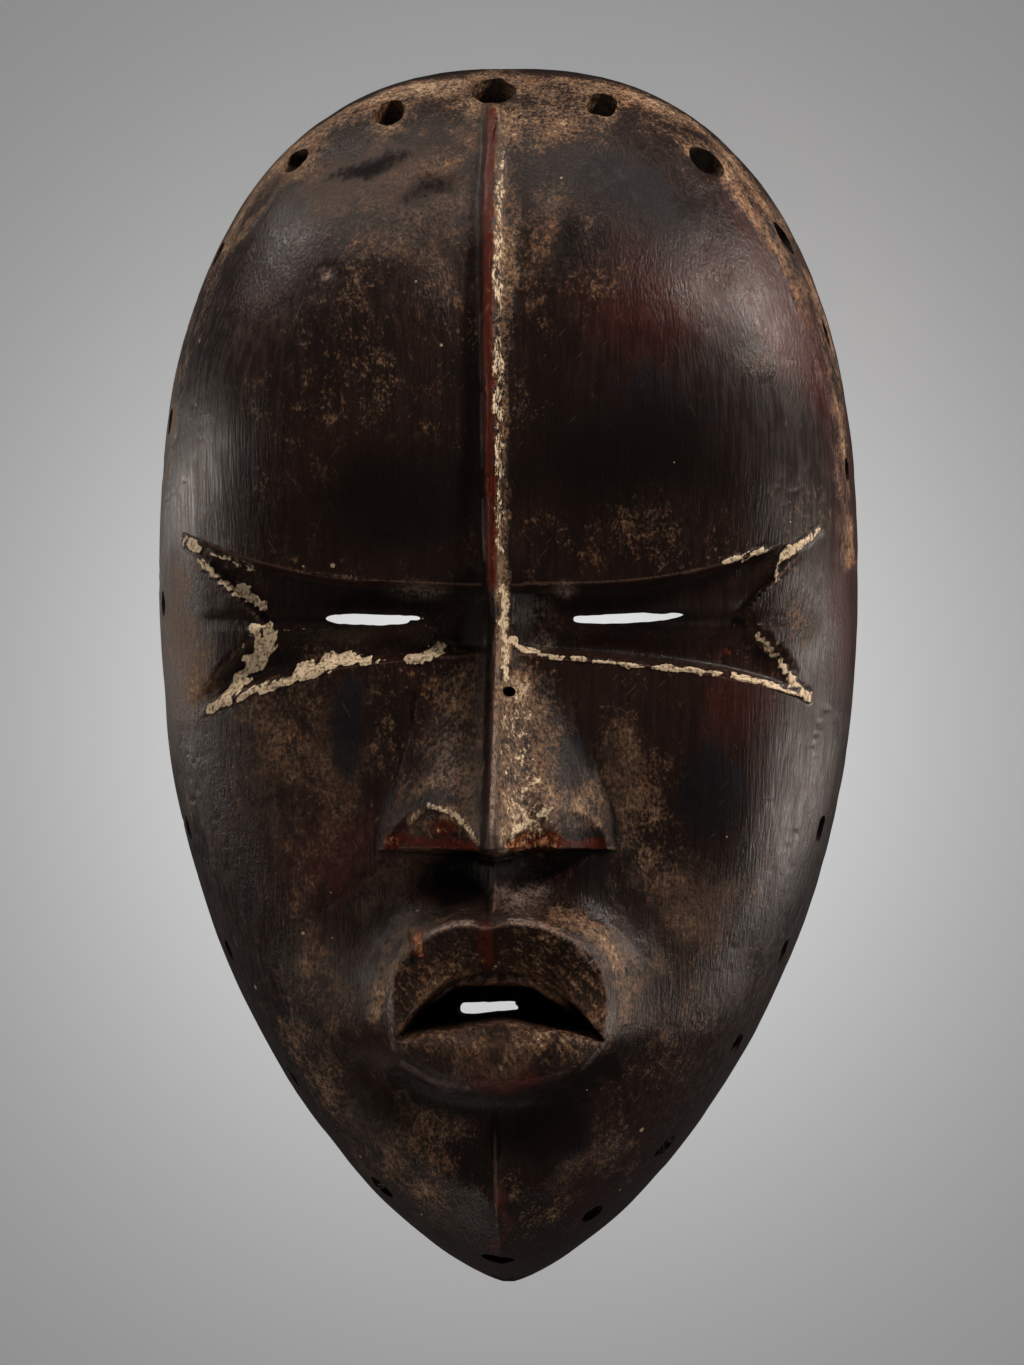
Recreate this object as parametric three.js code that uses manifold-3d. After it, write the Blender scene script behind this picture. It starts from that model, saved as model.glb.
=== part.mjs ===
// A carved wooden face mask, worn over the face and tied on through the holes along its rim.
// Millimetres. X runs across the face, Y from the chin to the forehead, Z out of the face.
// The mask lies on its flat back rim at Z = 0, and the origin is under the middle of its outline.
import * as THREE from "three";
import { mergeVertices } from "three/addons/utils/BufferGeometryUtils.js";
import Module from "manifold-3d";

// Outline, seen from the front
const HALF_LENGTH = 120.1;
const HALF_WIDTH = 69.1;
const WIDEST_Y = 18.9;
const CROWN_POWER = 2.4; // superellipse of the forehead end
const JAW_POWER = 2.2; // how long the cheeks stay wide
const JAW_CLOSING = 0.73; // how bluntly the jaw closes at the chin

// Body of the mask
const RIM_EDGE = 2.6; // height of the square edge round the rim
const SIDE_WALL = 6.4; // thickness of the wood at the rim
const CHIN_WALL = 8.0;
const HOLLOW_ACROSS = 1 - SIDE_WALL / HALF_WIDTH; // the hollow's width and length beside the mask's own
const HOLLOW_ALONG = 1 - CHIN_WALL / HALF_LENGTH;
const HOLLOW_DEPTH_SHARE = 0.845; // depth of the hollow beside the height of the outside
const PROFILE = [
  // the middle of the face without its features, from the chin up: Y and Z
  [-120.1, 2.6],
  [-117.5, 11],
  [-112.5, 23.5],
  [-105, 35],
  [-96, 41],
  [-82, 44.5],
  [-60, 46.5],
  [-30, 46.5],
  [0, 46.5],
  [22, 50.5],
  [46, 53],
  [66, 51.5],
  [84, 46.5],
  [98, 38.5],
  [107, 30],
  [113.5, 20.5],
  [117.8, 11.5],
  [120.1, 2.6],
];

// Forehead ridge and chin crest
const RIDGE_TOP_Y = 112.2;
const RIDGE_LEAN = 0.0145; // sideways lean of the ridge towards the top
const RIDGE_HEIGHT = 3.2;
const RIDGE_HALF_WIDTH = 1.9;
const RIDGE_FOOT = 1.8;
const RIDGE_FOOT_WIDTH = 3.4;
const CHIN_CREST = 2.4;
const CHIN_CREST_WIDTH = 3.4;
const KEEL = 5.2; // crest between the nose and the upper lip
const KEEL_WIDTH = 2.6;

// Sunk band of the eyes
const SLIT_Y = 10.8;
const BROW_Y = 17.3;
const CHEEK_Y = 4.4;
const EYE_DEPTH = 4;
const LID_SWELL = 1.5;
const TAIL_X = 61.5;
// The point of each side panel, between the two tails, and how far the cheek edge drops at the tail
const LEFT_EYE = { apexX: 45.4, apexY: 9.9, cheekDrop: 8.2 };
const RIGHT_EYE = { apexX: 47.5, apexY: 12.2, cheekDrop: 4.6 };
const SLITS = [
  { from: -33.8, to: -14.8, height: 2.5 },
  { from: 14.4, to: 36.2, height: 2.3 },
];

// Nose
const NOSE_TIP_Y = -33.5;
const NOSE_CREST = [[NOSE_TIP_Y, 71.5], [-26, 67.3], [-14, 60.5], [-2, 54.5], [8, 51.2], [18, 50]];
const NOSE_EDGE = [[NOSE_TIP_Y, 47.5], [-25, 47], [-15, 45.6], [-2, 44], [6, 41], [16, 36]];
const NOSE_HALF = [[NOSE_TIP_Y, 21.4], [-27, 20.9], [-19, 18.8], [-9, 16.2], [1, 13.6], [7, 9.5], [17, 7]];
const WING_SWELL = [[NOSE_TIP_Y, 9], [-25, 7.2], [-15, 3.2], [-4, 0.8], [4, 0]];
const NOSTRIL_X = 11.8;
const NOSTRIL_HALF_WIDTH = 9.6;
const NOSTRIL_RISE = 8.4;
const NOSTRIL_FALL = 0.42;
const UNDER_NOSE_FALL = 12;

// Mouth
const MOUTH = { x: 1.0, y: -62.9, halfWidth: 21.4, halfHeight: 15.7, power: 2.5 };
const LIP_PROUD = 13.5;
const LIP_REACH = 18; // from the middle of the mouth to the edge of the lips
const LIP_EDGE_ROUND = 0.7;
const MOUTH_CORNER_Y = -70.6;
const CORNER_REACH = 20.6;
const UPPER_LIP_Y = -55.8;
const LOWER_LIP_Y = -66.4;
const RECESS_FLOOR_Z = 46.5;
const MOUTH_SLOT = { from: -7.6, to: 4.3, y: -64.5, height: 2.8 };

const SLIT_TAPER = 4; // length of a slit's narrowing end
const SLOT_TAPER = 0.8;
const CUTTER_FOOT_Z = 20; // the cutters of the slits reach from inside the hollow to above the face
const CUTTER_HEIGHT = 60;

// Holes along the rim: places as X and Y seen from the front, width along the rim, and height
const RIM_HOLES = [
  [-2.3, 114.8, 8.8, 12],
  [19.3, 111.4, 6, 9.5],
  [39.9, 100.3, 8.3, 8],
  [54.8, 85.8, 7.6, 5],
  [63.2, 66.6, 5.6, 4.4],
  [67.0, 40.3, 5.2, 4.2],
  [62.0, -29.9, 5.0, 4.4],
  [54.9, -54.2, 5.2, 4.4],
  [45.6, -72.2, 5.2, 4.6],
  [31.7, -92.2, 6, 4.4],
  [17.4, -105.4, 4.8, 4.4],
  [-1.4, -114.4, 6.4, 4.4],
  [-23.8, -100.2, 6, 4.4],
  [-41.5, -79.0, 4.6, 4.2],
  [-54.1, -54.1, 4.8, 4.2],
  [-62.0, -29.9, 5.0, 4.4],
  [-67.4, 14.0, 5.2, 4.4],
  [-66.0, 50.0, 5.2, 4.4],
  [-56.8, 83.0, 5.2, 4.6],
  [-41.0, 101.0, 6.4, 8],
  [-22.4, 110.0, 6.6, 11],
];
const BORE_SIDES = 8;
const BORE_LENGTH = 30;
const BORE_SINK = 5; // how far the middle of a bore lies under the surface
const SIDE_BORE_TILT = 22; // degrees up from the rim's plane, at the sides and at the two ends
const END_BORE_TILT = 48;

// Fineness of the surface
const ROW_STEPS = [
  // height on the face, and how far apart the rows are there
  [-120, 0.9],
  [-116, 2.2],
  [-104, 5],
  [-84, 3.4],
  [-79, 2.3],
  [-46, 2.3],
  [-36, 1.5],
  [-32, 1.6],
  [-28, 2.4],
  [-22, 3.2],
  [-2, 3.2],
  [3, 1.7],
  [19, 1.8],
  [26, 4.5],
  [40, 9],
  [86, 9],
  [104, 4.5],
  [114, 2.4],
  [119, 1],
];
const MIDDLE_COLUMNS = [0, 0.9, 1.9, 3.2, 5.6, 8.2, 11, 14, 17, 19.6, 21.6, 23.8];
const OUTER_COLUMNS = 10;
const HOLLOW_COLUMNS = 9;

const clamp = (t, a = 0, b = 1) => Math.min(b, Math.max(a, t));
const smooth = (a, b, t) => {
  const s = clamp((t - a) / (b - a));
  return s * s * (3 - 2 * s);
};
const mix = (a, b, t) => a + (b - a) * t;
const bump = (t) => Math.exp(-t * t);

// The side of a carved step: sharp at its upper edge, easing out at its foot.
const cut = (t) => 1 - (1 - clamp(t)) ** 2;

// The larger of two heights, rounded over where they meet.
const softMax = (a, b, k) => {
  const h = Math.max(k - Math.abs(a - b), 0) / k;
  return Math.max(a, b) + (h * h * k) / 4;
};

// A smooth curve through stations that doesn't overshoot them.
function through(stations, at) {
  const last = stations.length - 1;
  const x = clamp(at, stations[0][0], stations[last][0]);
  let i = 0;
  while (i < last - 1 && x > stations[i + 1][0]) i += 1;
  const rise = (j) =>
    (stations[j + 1][1] - stations[j][1]) / (stations[j + 1][0] - stations[j][0]);
  const slope = (j) => {
    if (j === 0) return rise(0);
    if (j === last) return rise(last - 1);
    const before = rise(j - 1);
    const after = rise(j);
    return before * after <= 0 ? 0 : (2 * before * after) / (before + after);
  };
  const span = stations[i + 1][0] - stations[i][0];
  const t = (x - stations[i][0]) / span;
  return (
    stations[i][1] * (1 + 2 * t) * (1 - t) * (1 - t) +
    slope(i) * span * t * (1 - t) * (1 - t) +
    stations[i + 1][1] * t * t * (3 - 2 * t) +
    slope(i + 1) * span * t * t * (t - 1)
  );
}

// Half the width of the outline at a height on the face.
function halfWidth(y) {
  if (y >= WIDEST_Y) {
    const t = clamp((y - WIDEST_Y) / (HALF_LENGTH - WIDEST_Y));
    return HALF_WIDTH * (1 - t ** CROWN_POWER) ** (1 / CROWN_POWER);
  }
  const t = clamp((WIDEST_Y - y) / (WIDEST_Y + HALF_LENGTH));
  return HALF_WIDTH * (1 - t ** JAW_POWER) ** JAW_CLOSING;
}

// The domed body without its features: a rounded section at every height on the face.
function body(x, y) {
  const q = clamp(Math.abs(x) / Math.max(halfWidth(y), 1e-6));
  const flatness = mix(mix(4.8, 2.7, smooth(50, 116, y)), 1.75, smooth(-66, -112, y));
  const crown = (1 - q ** flatness) ** (1 / mix(2.1, 1.8, smooth(50, 110, y)));
  return RIM_EDGE + (through(PROFILE, y) - RIM_EDGE) * crown;
}

const eyeAt = (x) => (x < 0 ? LEFT_EYE : RIGHT_EYE);

// Edges of the eye band: the brow above it and the cheek below it.
const browLine = (x) => BROW_Y + 10.4 * (Math.min(Math.abs(x), TAIL_X) / 61) ** 3;
const cheekLine = (x) => {
  const s = Math.min(Math.abs(x), TAIL_X) / 60;
  return CHEEK_Y - 4.2 * s - eyeAt(x).cheekDrop * s ** 3.5;
};

// Depth of the band: it runs out into two tails round the point of the side panel, and the lids swell in it.
function eyeBand(x, y) {
  const side = Math.abs(x);
  const { apexX, apexY } = eyeAt(x);
  const panel = Math.abs(y - apexY) - 1.02 * (side - apexX);
  const inside =
    cut((browLine(x) - y) / 1.5) *
    cut((y - cheekLine(x)) / 2.2) *
    cut(panel / 1.8) *
    (1 - smooth(TAIL_X - 14, TAIL_X, side)) *
    smooth(0.5, 8.5, side);
  const swell = LID_SWELL * bump((y - SLIT_Y) / 3.4) * smooth(5, 20, side);
  const groove =
    0.9 * bump((y - SLIT_Y) / 0.8) * smooth(28, 34, side) * (1 - smooth(48, 62, side));
  return (EYE_DEPTH - swell) * inside + groove;
}

// The upper faces of the nose: a crest, two hollow flanks, the swell of the wings and their steep sides.
function noseAbove(x, y) {
  const half = through(NOSE_HALF, y);
  const edge = through(NOSE_EDGE, y);
  const swell = through(WING_SWELL, y);
  const q = Math.abs(x - 0.2) / half;
  if (q > 1) return edge - 2.2 * (q - 1) * half;
  const hollowed = Math.exp(-3.6 * q) - Math.exp(-3.6) * q;
  const flank = mix(1 - q, hollowed, 0.8);
  const wing = bump((q - 0.56) / 0.3) - bump(0.44 / 0.3) * smooth(0.5, 1, q);
  return edge + (through(NOSE_CREST, y) - edge) * flank + swell * wing;
}

// The arc that cuts each wing off above its flat nostril face.
function nostrilArc(x) {
  const t = (Math.abs(x - 0.3) - NOSTRIL_X) / NOSTRIL_HALF_WIDTH;
  return NOSE_TIP_Y + NOSTRIL_RISE * Math.sqrt(Math.max(0, 1 - t * t));
}

function nose(x, y) {
  const arc = nostrilArc(x);
  const facet = NOSTRIL_FALL * Math.max(0, arc - Math.max(y, NOSE_TIP_Y));
  const under = UNDER_NOSE_FALL * Math.max(0, NOSE_TIP_Y - y);
  return noseAbove(x, Math.max(y, arc)) - facet - under;
}

// How far out a point is from the middle of the mouth, 1 on the edge of the lips.
function mouthReach(x, y) {
  const u = Math.abs(x - MOUTH.x) / MOUTH.halfWidth;
  const bow =
    y > MOUTH.y ? 0.55 * bump((Math.abs(x + 0.9) - 6) / 4.5) - 0.7 * bump((x + 0.9) / 2.4) : 0;
  const v = Math.abs(y - MOUTH.y) / (MOUTH.halfHeight + bow);
  return (u ** MOUTH.power + v ** MOUTH.power) ** (1 / MOUTH.power);
}

// How far the edge of the lips stands out of the face.
const lipEdge = (x, y) =>
  LIP_PROUD +
  2.8 * smooth(-60, -48, y) -
  3 * smooth(12, 22, Math.abs(x - MOUTH.x)) -
  2.2 * smooth(-70, -79, y) -
  bump((x + 0.6) / 2.4) * smooth(-56, -48, y);

const lipInner = (x, middle, power) =>
  middle - (middle - MOUTH_CORNER_Y) * (Math.abs(x - MOUTH.x) / CORNER_REACH) ** power;

// The muzzle round the mouth, its lips and the dark recess between them.
function mouth(x, y, ground) {
  const reach = mouthReach(x, y);
  const proud = lipEdge(x, y);
  const spread = mix(2.8, 4.6, smooth(-78, -66, y)) - 1.6 * smooth(-60, -48, y);
  const away = (reach - 1) * LIP_REACH;
  const beyond = 0.5 * (away + Math.hypot(away, LIP_EDGE_ROUND));
  const outside = ground + proud * Math.exp(-beyond / spread);
  const inward = Math.max(-away, 0);
  const lip = ground + proud - Math.min(inward, 12) * mix(0.12, 0.5, smooth(-74, -62, y));
  const gap = Math.min(lipInner(x, UPPER_LIP_Y, 2.35) - y, y - lipInner(x, LOWER_LIP_Y, 1.15));
  return Math.min(outside, mix(lip, Math.min(lip, RECESS_FLOOR_Z), smooth(-0.2, 2.6, gap)));
}

// The ridge down the forehead and over the bridge of the nose.
function ridge(x, y) {
  const across = Math.abs(x + 0.35 + RIDGE_LEAN * Math.max(y - 15, 0));
  const along = 1 - smooth(RIDGE_TOP_Y - 0.8, RIDGE_TOP_Y + 0.4, y);
  const half = RIDGE_HALF_WIDTH * mix(0.62, 1, smooth(0, 95, y));
  const crest = 1 - smooth(0.45, 1.3, across / half);
  const onNose = 0.34 * smooth(NOSE_TIP_Y, NOSE_TIP_Y + 3, y);
  return (
    along * mix(onNose, 1, smooth(-6, 14, y)) * RIDGE_HEIGHT * crest +
    along * smooth(4, 24, y) * RIDGE_FOOT * Math.exp(-across / RIDGE_FOOT_WIDTH)
  );
}

// Height of the whole carved front.
function front(x, y) {
  let z = body(x, y);
  z += 1.2 * bump((Math.abs(x) - 29) / 17) * bump((y - 62) / 26);
  z -= 1.4 * bump(x / 9) * smooth(20, 34, y) * (1 - smooth(96, 108, y));
  z -= 1.8 * bump((Math.abs(x) - 33) / 13) * bump((y + 30) / 24);
  z -= eyeBand(x, y);
  z = mouth(x, y, z);
  if (y < 20) z = softMax(z, nose(x, y), y < NOSE_TIP_Y ? 4 : 2);
  z += ridge(x, y);

  const onChin = smooth(-82, -98, y) * (1 - smooth(-112, -119, y));
  z += onChin * CHIN_CREST * Math.exp(-Math.abs(x + 0.5) / CHIN_CREST_WIDTH);
  const underNose = smooth(-47.8, -44, y) * (1 - smooth(-37, NOSE_TIP_Y, y));
  z += underNose * (KEEL * Math.exp(-Math.abs(x + 0.2) / KEEL_WIDTH) - 2.2 * bump((Math.abs(x) - 9) / 6));
  return Math.max(z, RIM_EDGE);
}

// Height of the hollow behind the face: the plain body, drawn in on every side.
function hollow(x, y) {
  return (body(x / HOLLOW_ACROSS, y / HOLLOW_ALONG) - RIM_EDGE) * HOLLOW_DEPTH_SHARE;
}

// Where a grid column runs at each height: straight in the middle, and with the outline at the sides.
function columnX(u, y) {
  const w = halfWidth(y);
  const power = 1 + 4 * (w / HALF_WIDTH) ** 6;
  return Math.sign(u) * (HALF_WIDTH * Math.abs(u) - (HALF_WIDTH - w) * Math.abs(u) ** power);
}

// Rows bend with the brow and the cheek edge, so that both stay sharp.
function rowY(row, x) {
  const brow = browLine(x) - BROW_Y;
  const cheek = cheekLine(x) - CHEEK_Y;
  if (row >= BROW_Y) return row + brow * (1 - clamp((row - BROW_Y) / 44));
  if (row >= SLIT_Y) return row + brow * clamp((row - SLIT_Y) / (BROW_Y - SLIT_Y));
  if (row >= CHEEK_Y) return row + cheek * clamp((SLIT_Y - row) / (SLIT_Y - CHEEK_Y));
  return row + cheek * (1 - clamp((CHEEK_Y - row) / 36));
}

function gridPoint(u, row) {
  if (Math.abs(row) >= HALF_LENGTH) return [0, row];
  const y = rowY(row, columnX(u, row));
  return [columnX(u, y), y];
}

// Rows from the chin to the crown, closer together where the face is carved.
function faceRows() {
  const rows = [-HALF_LENGTH];
  const step = (y) => through(ROW_STEPS, y);
  let y = -HALF_LENGTH;
  while (y + step(y) < HALF_LENGTH - 0.3) {
    y += step(y);
    rows.push(y);
  }
  rows.push(HALF_LENGTH);
  return rows;
}

// Columns from side to side, from 0 at the middle to 1 on the outline.
function faceColumns() {
  const half = MIDDLE_COLUMNS.map((x) => x / HALF_WIDTH);
  const from = half[half.length - 1];
  for (let i = 1; i <= OUTER_COLUMNS; i += 1) {
    const t = i / OUTER_COLUMNS;
    half.push(from + (1 - from) * Math.sin((t * Math.PI) / 2) ** 1.12);
  }
  half[half.length - 1] = 1;
  return [...half.slice(1).reverse().map((u) => -u), ...half];
}

function hollowColumns() {
  const columns = [];
  for (let i = 0; i <= HOLLOW_COLUMNS; i += 1) {
    columns.push(Math.sin(mix(-Math.PI / 2, Math.PI / 2, i / HOLLOW_COLUMNS)));
  }
  return columns;
}

// A closed body from two nets over the same rows: the front, the back, and the rim between them.
function shellGeometry() {
  const rows = faceRows();
  const wide = faceColumns();
  const narrow = hollowColumns();
  const positions = [];
  const index = [];
  const add = (x, y, z) => positions.push(x, y, z) / 3 - 1;

  const net = (columns, place) =>
    rows.map((row, r) => {
      const pole = r === 0 || r === rows.length - 1;
      if (pole) return [place(0, row)];
      return columns.map((u) => place(u, row));
    });
  const skin = (lines, outward) => {
    const face = (a, b, c) => index.push(...(outward ? [a, b, c] : [a, c, b]));
    for (let r = 0; r + 1 < lines.length; r += 1) {
      const low = lines[r];
      const high = lines[r + 1];
      const count = Math.max(low.length, high.length);
      for (let c = 0; c + 1 < count; c += 1) {
        const a = low[Math.min(c, low.length - 1)];
        const b = low[Math.min(c + 1, low.length - 1)];
        const d = high[Math.min(c, high.length - 1)];
        const e = high[Math.min(c + 1, high.length - 1)];
        if (a !== b) face(a, b, low.length > 1 && high.length > 1 ? e : d);
        if (d !== e) face(a, e, d);
      }
    }
  };
  const loop = (lines) => [
    ...lines.map((line) => line[line.length - 1]),
    ...lines
      .slice(1, -1)
      .reverse()
      .map((line) => line[0]),
  ];
  const band = (from, to) => {
    from.forEach((a, i) => {
      const b = from[(i + 1) % from.length];
      const d = to[i];
      const e = to[(i + 1) % to.length];
      index.push(a, d, e, a, e, b);
    });
  };

  const face = net(wide, (u, row) => {
    const [x, y] = gridPoint(u, row);
    return add(x, y, Math.abs(u) === 1 || Math.abs(row) === HALF_LENGTH ? RIM_EDGE : front(x, y));
  });
  const back = net(narrow, (u, row) => {
    const [faceX, faceY] = gridPoint(u, row);
    const x = faceX * HOLLOW_ACROSS;
    const y = faceY * HOLLOW_ALONG;
    return add(x, y, hollow(x, y));
  });
  skin(face, true);
  skin(back, false);

  const outer = loop(face);
  const inner = loop(back);
  const foot = outer.map((i) => add(positions[3 * i], positions[3 * i + 1], 0));
  band(outer, foot);
  band(foot, inner);

  const geometry = new THREE.BufferGeometry();
  geometry.setAttribute("position", new THREE.Float32BufferAttribute(positions, 3));
  geometry.setIndex(index);
  return geometry;
}

const wasm = await Module();
wasm.setup();

function solid(geometry) {
  const bare = geometry.clone();
  bare.deleteAttribute("normal");
  bare.deleteAttribute("uv");
  const merged = mergeVertices(bare, 1e-4);
  return new wasm.Manifold(
    new wasm.Mesh({
      numProp: 3,
      vertProperties: merged.attributes.position.array,
      triVerts: new Uint32Array(merged.index.array),
    }),
  );
}

function geometryOf(manifold) {
  const mesh = manifold.getMesh();
  const geometry = new THREE.BufferGeometry();
  geometry.setAttribute("position", new THREE.BufferAttribute(new Float32Array(mesh.vertProperties), 3));
  geometry.setIndex(new THREE.BufferAttribute(new Uint32Array(mesh.triVerts), 1));
  geometry.computeVertexNormals();
  return geometry;
}

// A slit with tapered ends, cut from the front of the face to its back.
function slitCutter(from, to, y, height, taper) {
  const outline = new THREE.Shape();
  outline.moveTo(from, y);
  outline.lineTo(from + taper, y + height / 2);
  outline.lineTo(to - taper, y + height / 2);
  outline.lineTo(to, y);
  outline.lineTo(to - taper, y - height / 2);
  outline.lineTo(from + taper, y - height / 2);
  outline.closePath();
  const cutter = new THREE.ExtrudeGeometry(outline, { depth: CUTTER_HEIGHT, bevelEnabled: false });
  return cutter.translate(0, 0, CUTTER_FOOT_Z);
}

// A hole bored inwards through the wall near the rim, steeper at the crown and the chin than at the sides.
function rimBore(x, y, width, height) {
  const h = 0.6;
  const away = new THREE.Vector2(
    front(x - h, y) - front(x + h, y),
    front(x, y - h) - front(x, y + h),
  ).normalize();
  const tilt = mix(SIDE_BORE_TILT, END_BORE_TILT, smooth(70, 104, Math.abs(y)));
  const steep = THREE.MathUtils.degToRad(tilt);
  const along = new THREE.Vector3(-away.y, away.x, 0);
  const out = new THREE.Vector3(away.x * Math.cos(steep), away.y * Math.cos(steep), Math.sin(steep));
  const up = new THREE.Vector3().crossVectors(along, out);
  const at = new THREE.Vector3(x, y, front(x, y)).addScaledVector(out, -BORE_SINK);
  const cutter = new THREE.CylinderGeometry(0.5, 0.5, BORE_LENGTH, BORE_SIDES);
  cutter.scale(width, 1, height);
  return cutter.applyMatrix4(new THREE.Matrix4().makeBasis(along, out, up).setPosition(at));
}

function carvedMask() {
  let wood = solid(shellGeometry());
  for (const slit of SLITS) {
    wood = wood.subtract(solid(slitCutter(slit.from, slit.to, SLIT_Y, slit.height, SLIT_TAPER)));
  }
  wood = wood.subtract(
    solid(slitCutter(MOUTH_SLOT.from, MOUTH_SLOT.to, MOUTH_SLOT.y, MOUTH_SLOT.height, SLOT_TAPER)),
  );
  for (const hole of RIM_HOLES) wood = wood.subtract(solid(rimBore(...hole)));
  return wood;
}

const darkWood = new THREE.MeshStandardMaterial({ color: 0x2a1b14, roughness: 0.42, metalness: 0 });

const mask = new THREE.Mesh(geometryOf(carvedMask()), darkWood);
mask.name = "mask";

const group = new THREE.Group();
group.add(mask);

export default group;
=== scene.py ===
"""A carved wooden face mask lying on its back rim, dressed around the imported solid.

Shapes are worked out in millimetres, as heights over the plane of the rim, and become metres when
a mesh is finished. X runs across the face, Y from the chin to the forehead, Z out of the face.
"""

import logging
import math
from collections.abc import Callable
from dataclasses import dataclass, field
from enum import Enum

import bmesh
import bpy
import numpy as np
from mathutils import Matrix, Vector


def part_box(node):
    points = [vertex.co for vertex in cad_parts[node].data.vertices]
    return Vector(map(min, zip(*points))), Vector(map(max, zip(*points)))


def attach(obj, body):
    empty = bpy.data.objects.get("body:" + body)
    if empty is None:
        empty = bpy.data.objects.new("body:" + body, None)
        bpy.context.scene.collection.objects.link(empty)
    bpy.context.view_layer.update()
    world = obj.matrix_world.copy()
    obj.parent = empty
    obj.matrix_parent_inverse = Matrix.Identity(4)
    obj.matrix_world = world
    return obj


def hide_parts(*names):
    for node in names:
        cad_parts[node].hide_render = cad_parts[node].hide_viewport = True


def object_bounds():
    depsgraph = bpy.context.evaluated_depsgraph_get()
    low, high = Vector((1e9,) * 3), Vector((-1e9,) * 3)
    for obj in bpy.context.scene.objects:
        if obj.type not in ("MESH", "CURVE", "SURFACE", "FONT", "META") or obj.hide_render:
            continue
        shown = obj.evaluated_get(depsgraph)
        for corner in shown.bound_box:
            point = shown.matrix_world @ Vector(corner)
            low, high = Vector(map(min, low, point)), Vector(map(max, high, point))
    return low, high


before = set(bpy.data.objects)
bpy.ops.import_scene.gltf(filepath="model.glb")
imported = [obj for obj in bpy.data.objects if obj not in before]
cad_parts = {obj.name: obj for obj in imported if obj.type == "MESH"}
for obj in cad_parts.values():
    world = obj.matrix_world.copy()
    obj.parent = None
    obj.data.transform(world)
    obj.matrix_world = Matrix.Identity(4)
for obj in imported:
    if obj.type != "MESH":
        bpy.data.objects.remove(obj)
CAD_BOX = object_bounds()

LOG = logging.getLogger("mask")
MM = 0.001
# Vertices closer than this, in metres, are one.
TOUCH = 1e-7
# The multipliers and the word size of the noise's scrambling.
SCRAMBLE = (374761393, 668265263, 2147483647, 1013904223)
STIR = 1274126177
WORD = 0xFFFFFFFF
Array = np.ndarray
Point = tuple[float, float]
Stations = tuple[Point, ...]
# Where an eased step starts and where it ends.
Span = tuple[float, float]
Colour = tuple[float, float, float]
Height = Callable[[Array, Array], Array]
Part = bmesh.types.BMVert | bmesh.types.BMEdge | bmesh.types.BMFace
Socket = bpy.types.NodeSocket
Value = Socket | float | Colour


def clamp(value: Array, low: float = 0.0, high: float = 1.0) -> Array:
    """Value held between low and high."""
    return np.minimum(high, np.maximum(low, value))


def smooth(start: float, end: float, value: Array) -> Array:
    """An eased step from 0 at start to 1 at end."""
    share = clamp((value - start) / (end - start))
    return share * share * (3 - 2 * share)


def mix(first: Array, second: Array, share: Array) -> Array:
    """First where share is 0, second where it is 1."""
    return first + (second - first) * share


def bump(value: Array) -> Array:
    """A rounded swell: 1 at zero, fading to both sides."""
    return np.exp(-value * value)


def cut(value: Array) -> Array:
    """The side of a carved step: sharp at its upper edge, easing out at its foot."""
    return 1 - (1 - clamp(value)) ** 2


def soft_max(first: Array, second: Array, rounding: float | Array) -> Array:
    """The larger of two heights, rounded over where they meet."""
    near = np.maximum(rounding - np.abs(first - second), 0) / rounding
    return np.maximum(first, second) + near * near * rounding / 4


def through(stations: Stations, at: Array) -> Array:
    """A smooth curve through stations that doesn't overshoot them.

    Args:
        stations: Places and values, from the lowest place up.
        at: Places to read the curve at.

    Returns:
        The curve's values.
    """
    places = np.array([s[0] for s in stations], float)
    values = np.array([s[1] for s in stations], float)
    rise = np.diff(values) / np.diff(places)
    slope = np.concatenate([rise[:1], np.zeros(len(rise) - 1), rise[-1:]])
    for j in range(1, len(rise)):
        before, after = rise[j - 1], rise[j]
        if before * after > 0:
            slope[j] = 2 * before * after / (before + after)
    x = clamp(at, places[0], places[-1])
    i = np.clip(np.searchsorted(places, x, side="left") - 1, 0, len(places) - 2)
    span = places[i + 1] - places[i]
    t = (x - places[i]) / span
    return (
        values[i] * (1 + 2 * t) * (1 - t) ** 2
        + slope[i] * span * t * (1 - t) ** 2
        + values[i + 1] * t * t * (3 - 2 * t)
        + slope[i + 1] * span * t * t * (t - 1)
    )


def mesh_of(bm: bmesh.types.BMesh, name: str) -> bpy.types.Mesh:
    """Turns a bmesh into a mesh and frees it.

    Args:
        bm: The bmesh.
        name: The mesh's name.

    Returns:
        The mesh.
    """
    mesh = bpy.data.meshes.new(name)
    bm.to_mesh(mesh)
    bm.free()
    return mesh


def linked(name: str, data: bpy.types.ID) -> bpy.types.Object:
    """Makes an object of a mesh, a light or a camera and puts it in the scene.

    Args:
        name: The object's name.
        data: The mesh, light or camera.

    Returns:
        The object.
    """
    made = bpy.data.objects.new(name, data)
    bpy.context.scene.collection.objects.link(made)
    return made


def verts_in(geom: list[Part]) -> list[bmesh.types.BMVert]:
    """The vertices among the things that an operator has made."""
    return [g for g in geom if isinstance(g, bmesh.types.BMVert)]


def points_of(mesh: bpy.types.Mesh) -> Array:
    """The places of a mesh's vertices, one row each, in metres.

    Args:
        mesh: The mesh.

    Returns:
        The places.
    """
    co = np.zeros(len(mesh.vertices) * 3)
    mesh.vertices.foreach_get("co", co)
    return co.reshape(-1, 3)


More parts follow.
